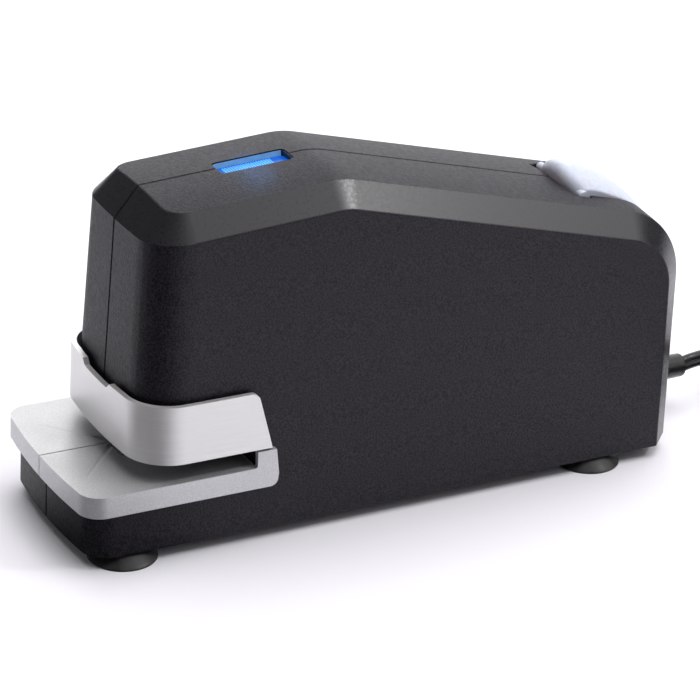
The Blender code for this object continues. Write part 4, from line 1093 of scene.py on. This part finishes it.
def housing():
    """Both halves with every opening, and the screws' bosses and holes on the left."""
    reach = 120 * MM
    tunnel_x = 8.7 * MM
    recess_x = BUTTON_X + 0.8 * MM
    pivot_x = BUTTON_X + 2.4 * MM
    for side, node in ((1, "housing_right"), (-1, "housing_left")):
        shell = shell_half(f"shell_{node[8:]}", side)
        tools = [
            box_mesh((-tunnel_x, -reach, HEAD_Z - 2 * MM), (tunnel_x, -40 * MM, 44 * MM)),
            prism(window_outline(0.3 * MM), "Z", 95 * MM, 115 * MM),
            box_mesh((-recess_x, RECESS_Y, 68 * MM), (recess_x, RECESS_REAR, 105 * MM)),
            cylinder((-pivot_x, PIVOT_Y, PIVOT_Z), (pivot_x, PIVOT_Y, PIVOT_Z), PIVOT_RADIUS + 0.5 * MM),
            cylinder((0, REAR - 6 * MM, CORD_Z), (0, REAR + 6 * MM, CORD_Z), 4.2 * MM),
        ]
        for foot in FOOT_NAMES:
            x, y = base_middle(foot)
            if x * side > 0:
                tools.append(cylinder((x, y, 0), (x, y, 8 * MM), 2.8 * MM))
        if side > 0:
            lever_x = base_middle("paper_lever")[0]
            low = (lever_x - 1.7 * MM, -56 * MM, HEAD_Z - 2 * MM)
            tools.append(box_mesh(low, (lever_x + 1.7 * MM, -43.4 * MM, 39 * MM)))
        else:
            for y, z in SCREW_SPOTS:
                y, z = y * MM, z * MM
                wall = side_x(z)
                boss = cylinder((-SEAM, y, z), (MM - wall, y, z), BOSS_RADIUS, sides=24)
                add_solid(shell, boss)
                outside = (-40 * MM, y, z)
                tools.append(cylinder(outside, (2.6 * MM - wall, y, z), 3.3 * MM, sides=32))
                tools.append(cylinder(outside, (0, y, z), 1.8 * MM, sides=24))
        cut(shell, *tools)
        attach(settle(shell), "housing")
        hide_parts(node)


# ---------------------------------------------------------------- silver base cover and collar


def plan_outline(front, half_width, radius, rear, bow, start=SEAM):
    """Half of a plan outline, from the seam to the rear of the side: a bowed front and a round corner."""
    turn = half_width - radius
    points = [(start, front)]
    for share in (0.15, 0.3, 0.45, 0.6, 0.75, 0.9, 1):
        points.append((turn * share, front + bow * (turn * share / half_width) ** 2))
    corner_y = front + bow * (turn / half_width) ** 2
    steps = 14
    for k in range(1, steps + 1):
        angle = math.radians(90) * k / steps
        points.append((turn + radius * math.sin(angle), corner_y + radius * (1 - math.cos(angle))))
    points.append((half_width, rear))
    return points


COVER_SEAM = SEAM + 0.12 * MM


def base_cover(name, node, side):
    """Silver plate, skirt and cheek over half of the base, with rounded edges and a shallow crease."""
    reach = 60 * MM
    outer = plan_outline(FRONT, TRIM_X, BASE_RADIUS, TRIM_REAR, BASE_BOW, COVER_SEAM)
    outer = [(side * x, y) for x, y in [*outer, (COVER_SEAM, TRIM_REAR)]]
    cover = mesh_piece(name, prism(outer, "Z", SKIRT_Z, CHEEK_Z), FINISH["silver"])
    side_wall = TRIM_X - TRIM_WALL
    radius = BASE_RADIUS - TRIM_WALL / 2
    inner = plan_outline(FRONT + TRIM_WALL, side_wall, radius, TRIM_REAR + reach, BASE_BOW)
    hollow = [(side * x, y) for x, y in [(-MM, FRONT + TRIM_WALL), *inner, (-MM, TRIM_REAR + reach)]]
    slot = rounded(
        [
            (FRONT - reach, PLATE_Z, 0),
            (THROAT_Y, PLATE_Z, MM),
            (THROAT_Y - 0.8 * MM, CHEEK_Z + reach, 0),
            (FRONT - reach, CHEEK_Z + reach, 0),
        ]
    )
    behind = sorted((-side * MM, side * side_wall))
    behind_low = (behind[0], THROAT_Y - 0.3 * MM, PLATE_Z - PLATE - MM)
    corner = rounded(
        [
            (TRIM_REAR + 5 * MM, SKIRT_Z - 5 * MM, 0),
            (TRIM_REAR + 5 * MM, CHEEK_Z + 5 * MM, 0),
            (TRIM_REAR - 1.6 * MM, CHEEK_Z + 5 * MM, 0),
            (TRIM_REAR, SKIRT_Z + 4 * MM, 0),
            (TRIM_REAR - 0.4 * MM, SKIRT_Z, 2.5 * MM),
            (TRIM_REAR - 6 * MM, SKIRT_Z, 0),
            (TRIM_REAR - 6 * MM, SKIRT_Z - 5 * MM, 0),
        ]
    )
    blade_y = (ANVIL_LOW.y + ANVIL_HIGH.y) / 2
    anvil_low = (-9.3 * MM, blade_y - 3.8 * MM, PLATE_Z - 3 * MM)
    anvil_high = (9.3 * MM, blade_y + 3.8 * MM, PLATE_Z + MM)
    cut(
        cover,
        prism(hollow, "Z", SKIRT_Z - reach, PLATE_Z - PLATE),
        prism(slot, "X", -reach, reach),
        box_mesh(behind_low, (behind[1], reach, reach)),
        prism(corner, "X", -reach, reach),
        box_mesh(anvil_low, anvil_high),
    )

    def on_plate_rim(edge):
        a, b = edge.verts
        level = abs(a.co.z - PLATE_Z) < 0.05 * MM and abs(b.co.z - PLATE_Z) < 0.05 * MM
        by_seam = abs(a.co.x) < MM and abs(b.co.x) < MM
        middle = (a.co + b.co) / 2
        by_anvil = abs(middle.x) < 10 * MM and middle.y > blade_y - 5 * MM
        return level and not by_seam and not by_anvil

    soften(cover, 1.1 * MM, 4, 50, on_plate_rim)
    soften(cover, 0.3 * MM, 2, 50)
    crease = cylinder(
        (side * 1.6 * MM, blade_y - 3.6 * MM, PLATE_Z + 2.2 * MM),
        (side * 18 * MM, blade_y - 18.5 * MM, PLATE_Z + 2.45 * MM),
        2.5 * MM,
        sides=96,
    )
    cut(cover, crease)
    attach(settle(cover), "housing")
    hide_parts(node)


def collar():
    """Silver front of the magazine: a band round the head, with slanted ends and a notch in its top."""
    path = plan_outline(COLLAR_Y, COLLAR_X, COLLAR_RADIUS, -38 * MM, COLLAR_BOW)
    left = [(-x, y) for x, y in path[:0:-1]]
    bm = bmesh.new()
    foot = [bm.verts.new((x, y, COLLAR_LOW)) for x, y in left + path[1:]]
    edges = [bm.edges.new(pair) for pair in zip(foot, foot[1:])]
    grown = bmesh.ops.extrude_edge_only(bm, edges=edges)["geom"]
    upper = [item for item in grown if isinstance(item, bmesh.types.BMVert)]
    bmesh.ops.translate(bm, verts=upper, vec=(0, 0, COLLAR_TOP - COLLAR_LOW))
    for vert in bm.verts:
        vert.co.x *= 1 - DRAFT * (vert.co.z - COLLAR_LOW) / COLLAR_X
    bm.normal_update()
    if min(bm.faces, key=lambda f: f.calc_center_median().y).normal.y > 0:
        bmesh.ops.reverse_faces(bm, faces=bm.faces)
    band = mesh_piece("collar_band", bm, FINISH["collar"])
    give_wall(band, COLLAR_WALL)
    reach = 45 * MM
    ends = rounded(
        [
            (-20 * MM, COLLAR_LOW - 5 * MM, 0),
            (-20 * MM, COLLAR_TOP + 5 * MM, 0),
            (-52 * MM, COLLAR_TOP + 5 * MM, 0),
            (-52 * MM, COLLAR_TOP, 0),
            (-46.8 * MM, COLLAR_TOP, 3 * MM),
            (-42 * MM, COLLAR_LOW, 0),
            (-41 * MM, COLLAR_LOW - 5 * MM, 0),
        ]
    )
    half = NOTCH_WIDTH / 2
    floor_z = COLLAR_TOP - NOTCH_DEPTH
    notch = rounded(
        [
            (-half + NOTCH_DEPTH, floor_z, 0.8 * MM),
            (half - NOTCH_DEPTH, floor_z, 0.8 * MM),
            (half, COLLAR_TOP + 0.01 * MM, 0),
            (half, COLLAR_TOP + 5 * MM, 0),
            (-half, COLLAR_TOP + 5 * MM, 0),
            (-half, COLLAR_TOP + 0.01 * MM, 0),
        ]
    )
    across = prism(notch, "Z", -95 * MM, -70 * MM)
    depth_for_height = Matrix(((1, 0, 0, 0), (0, 0, 1, 0), (0, 1, 0, 0), (0, 0, 0, 1)))
    bmesh.ops.transform(across, matrix=depth_for_height, verts=across.verts)
    bmesh.ops.recalc_face_normals(across, faces=across.faces)
    cut(band, prism(ends, "X", -reach, reach), across)
    soften(band, 0.5 * MM, 3, 50)
    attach(settle(band), "magazine")
    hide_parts("magazine_collar")


# ---------------------------------------------------------------- button, window and feet


def button():
    """Crowned release button with soft edges and its round trunnions."""
    front, rear = 67.8 * MM, 94.6 * MM
    arc_y, arc_z, arc = 59 * MM, 43.7 * MM, 50.8 * MM
    nose = 4 * MM
    rise = 7.5 * MM
    crown_front, crown_loss = 5.4, 2.8  # in millimetres, over the half width
    bow, bow_run = 3.2 * MM, 14 * MM
    pin_radius = 1.5 * MM

    def arc_top(y):
        return arc_z + math.sqrt(arc**2 - (y - arc_y) ** 2)

    back = []
    nose_steps = 8
    for k in range(nose_steps):
        angle = math.radians(90) * k / nose_steps
        y = front + nose * (1 - math.cos(angle))
        back.append((y, arc_top(y) - nose * (1 - math.sin(angle))))
    steps = 20
    along = [front + nose + (rear - front - nose) * k / steps for k in range(steps + 1)]
    back += [(y, arc_top(y)) for y in along]
    under = [(y, arc_top(y) - rise) for y in [*along[::-2], front]]
    bm = prism(back + under, "X", -BUTTON_X, BUTTON_X)
    slice_along(bm, [BUTTON_X * k / 10 for k in range(-9, 10)], (1, 0, 0))
    for vert in bm.verts:
        share = abs(vert.co.x) / BUTTON_X
        back_share = (vert.co.y - front) / (rear - front)
        vert.co.z -= (crown_front - crown_loss * back_share) * MM * share**2
        ahead = max(0, 1 - (vert.co.y - front) / bow_run)
        vert.co.y += bow * share**3 * ahead
    bmesh.ops.recalc_face_normals(bm, faces=bm.faces)
    ease(bm, corners_of(bm, 45), 0.5 * MM, 3)
    cap = mesh_piece("button_cap", bm, FINISH["button"])
    reach = BUTTON_X + 1.3 * MM
    add_solid(cap, cylinder((-reach, PIVOT_Y, PIVOT_Z), (reach, PIVOT_Y, PIVOT_Z), pin_radius))
    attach(settle(cap, 40), "button")
    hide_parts("release_button")


def window():
    """Lit blue window: a sunk tray with pale walls, a dark rim, painted shade on its rear wall, a deep blue
    floor and bright ribs.
    """
    pale = lit_window("window_pale_blue", (0.13, 0.3, 0.56), 0.8, 0.3)
    deep = lit_window("window_deep_blue", (0.004, 0.1, 0.55), 0.95, 0.3)
    bright = lit_window("window_ribs_bright", (0.1, 0.42, 0.85), 0.85, 0.3)
    # The dark material serves the rim and, as painted shade, the recess's rear wall
    dark = moulded("window_rim_and_painted_shade", (0.006, 0.008, 0.012), (0.012, 0.014, 0.02), 0.4)
    surface_z = HEIGHT + FRONT_SLOPE * (WINDOW_Y - KINK_Y)
    slope = Vector((0, -FRONT_SLOPE, 1)).normalized()
    sunk = 0.35 * MM
    depth = 1.7 * MM
    rim_width = 0.3 * MM
    rim_and_shade_slot, floor_slot = 2, 1
    top = Vector((0, WINDOW_Y, surface_z - sunk))
    bm = prism(window_outline(0.2 * MM), "Z", LENS_LOW.z, surface_z + 3 * MM)
    geometry = bm.verts[:] + bm.edges[:] + bm.faces[:]
    sliced = bmesh.ops.bisect_plane(bm, geom=geometry, plane_co=top, plane_no=slope, clear_outer=True)
    rim = [item for item in sliced["geom_cut"] if isinstance(item, bmesh.types.BMEdge)]
    made = bmesh.ops.edgeloop_fill(bm, edges=rim)["faces"]
    bmesh.ops.recalc_face_normals(bm, faces=bm.faces)
    for face in bmesh.ops.inset_region(bm, faces=made, thickness=rim_width)["faces"]:
        face.material_index = rim_and_shade_slot
    pressed = bmesh.ops.extrude_face_region(bm, geom=made)["geom"]
    bmesh.ops.delete(bm, geom=[f for f in made if f.is_valid], context="FACES_ONLY")
    floor_face = [item for item in pressed if isinstance(item, bmesh.types.BMFace)][0]
    bmesh.ops.translate(bm, vec=-slope * depth, verts=floor_face.verts)
    floor_face.material_index = floor_slot
    bmesh.ops.recalc_face_normals(bm, faces=bm.faces)
    # Painted shade: the forward-facing rear wall of the recess gets the dark material
    for face in bm.faces:
        if face.normal.y < -0.6 and face.calc_center_median().y > WINDOW_Y:
            face.material_index = rim_and_shade_slot
    tray = mesh_piece("window_tray", bm, pale, deep, dark, smooth=40)
    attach(tray, "housing")
    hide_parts("indicator_lens")
    ribs = bmesh.new()
    count = 19
    half = 0.25 * MM
    first, last = WINDOW_Y - 8.6 * MM, WINDOW_Y + 6.4 * MM
    for k in range(count):
        y = first + (last - first) * k / (count - 1)
        base = surface_z + FRONT_SLOPE * (y - WINDOW_Y) - 2.15 * MM
        high = (3.2 * MM, y + half, base + 0.6 * MM)
        add_mesh(ribs, box_mesh((-2.4 * MM, y - half, base), high, 0.12 * MM))
    bars = mesh_piece("window_ribs", ribs, bright)
    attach(bars, "housing")


def feet():
    """Rubber suction feet, each with a flared lip, a stem and a barb through the base."""
    for node in FOOT_NAMES:
        low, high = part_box(node)
        radius = (high[0] - low[0]) / 2
        profile = [
            (0, 7.6 * MM),
            (1.9 * MM, 7.6 * MM),
            (2.3 * MM, 7.4 * MM),
            (3.6 * MM, BASE_Z + WALL + 0.4 * MM),
            (3.5 * MM, BASE_Z + WALL + 0.3 * MM),
            (2.5 * MM, BASE_Z + WALL + 0.3 * MM),
            (2.5 * MM, BASE_Z - 0.3 * MM),
            (6.2 * MM, BASE_Z - 0.3 * MM),
            (6.7 * MM, BASE_Z - 0.45 * MM),
            (7.6 * MM, 2.75 * MM),
            (8.7 * MM, 1.95 * MM),
            (9.7 * MM, 1.15 * MM),
            (radius - 0.15 * MM, 0.6 * MM),
            (radius, 0.4 * MM),
            (radius, 0.15 * MM),
            (radius - 0.15 * MM, 0),
            (5.5 * MM, 0),
            (3 * MM, 0.7 * MM),
            (0, 0.9 * MM),
        ]
        standing = turned(profile, (*base_middle(node), 0))
        foot = mesh_piece(f"rubber_{node[8:]}", standing, FINISH["rubber"], smooth=40)
        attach(foot, "housing")
        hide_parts(node)


# ---------------------------------------------------------------- springs and kept parts


def mechanism():
    """Make the springs, and give every part kept from the CAD its own metal, plastic or winding."""
    steel = metal("bright_steel", (0.42, 0.42, 0.43), (0.6, 0.6, 0.61), 0.28, (1, 0.05, 1), 900)
    zinc = metal("zinc_plate", (0.42, 0.43, 0.46), (0.58, 0.59, 0.61), 0.38)
    laminated = metal("laminated_steel", (0.12, 0.12, 0.125), (0.24, 0.24, 0.25), 0.45, (1, 30, 1), 60)
    blade_brass = metal("plug_brass", (0.62, 0.46, 0.2), (0.75, 0.6, 0.32), 0.28)
    aluminium = metal("heat_sink_aluminium", (0.6, 0.6, 0.61), (0.72, 0.72, 0.73), 0.4, (1, 1, 0.05), 800)
    copper = metal("enamelled_copper", (0.42, 0.13, 0.04), (0.6, 0.24, 0.09), 0.3, (1, 1, 40), 40)
    nylon = moulded("natural_nylon", (0.62, 0.6, 0.54), (0.72, 0.7, 0.64), 0.42)
    board = moulded("circuit_board_green", (0.01, 0.09, 0.035), (0.02, 0.14, 0.055), 0.35, 900)
    case = moulded("component_case", (0.018, 0.018, 0.02), (0.04, 0.04, 0.045), 0.35)
    sleeve = moulded("capacitor_sleeve", (0.02, 0.045, 0.2), (0.03, 0.07, 0.28), 0.3)
    white_case = moulded("switch_case", (0.5, 0.5, 0.48), (0.62, 0.62, 0.6), 0.45)
    fuse_glass = moulded("fuse_glass", (0.5, 0.55, 0.55), (0.62, 0.67, 0.66), 0.12)
    led = lit_window("indicator_led_blue", (0.1, 0.45, 1), 4, 0.2)
    finishes = {
        steel: [
            "anvil",
            "magazine_channel",
            "staple_rail",
            "staple_strip",
            "driver_blade",
            "latch_axle",
            "lever_axle",
        ],
        zinc: ["chassis_plate", "latch_lever", "paper_lever", "driver_arm", "plunger"],
        laminated: ["solenoid_frame"],
        blade_brass: ["plug_blade_left", "plug_blade_right"],
        aluminium: ["heat_sink"],
        copper: ["solenoid_winding"],
        nylon: ["solenoid_bobbin", "release_rod", "staple_pusher"],
        board: ["circuit_board", "indicator_board"],
        case: ["triac"],
        sleeve: ["capacitor"],
        white_case: ["paper_switch"],
        fuse_glass: ["fuse"],
        led: ["indicator_led"],
    }
    wire_spring("follower_spring", "pusher_spring", 0.25 * MM, 14, steel)
    wire_spring("driver_spring", "return_spring", 0.5 * MM, 5, steel)
    finishes[steel] += [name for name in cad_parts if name.startswith("housing_screw")]
    for finish, names in finishes.items():
        for name in names:
            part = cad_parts[name]
            part.data.materials.clear()
            part.data.materials.append(finish)


look(61.31, 25.43, 2.95, 932.53 * MM, (0, -0.31 * MM, 41.21 * MM), 156.67)
studio()
mains_cord()
FINISH = {
    "grain": grained_plastic(),
    "satin": satin_plastic(),
    "silver": silver_paint(),
    "collar": collar_metal(),
    "button": button_plastic(),
    "rubber": rubber(),
}
housing()
base_cover("cover_right", "base_trim_right", 1)
base_cover("cover_left", "base_trim_left", -1)
collar()
button()
window()
feet()
mechanism()
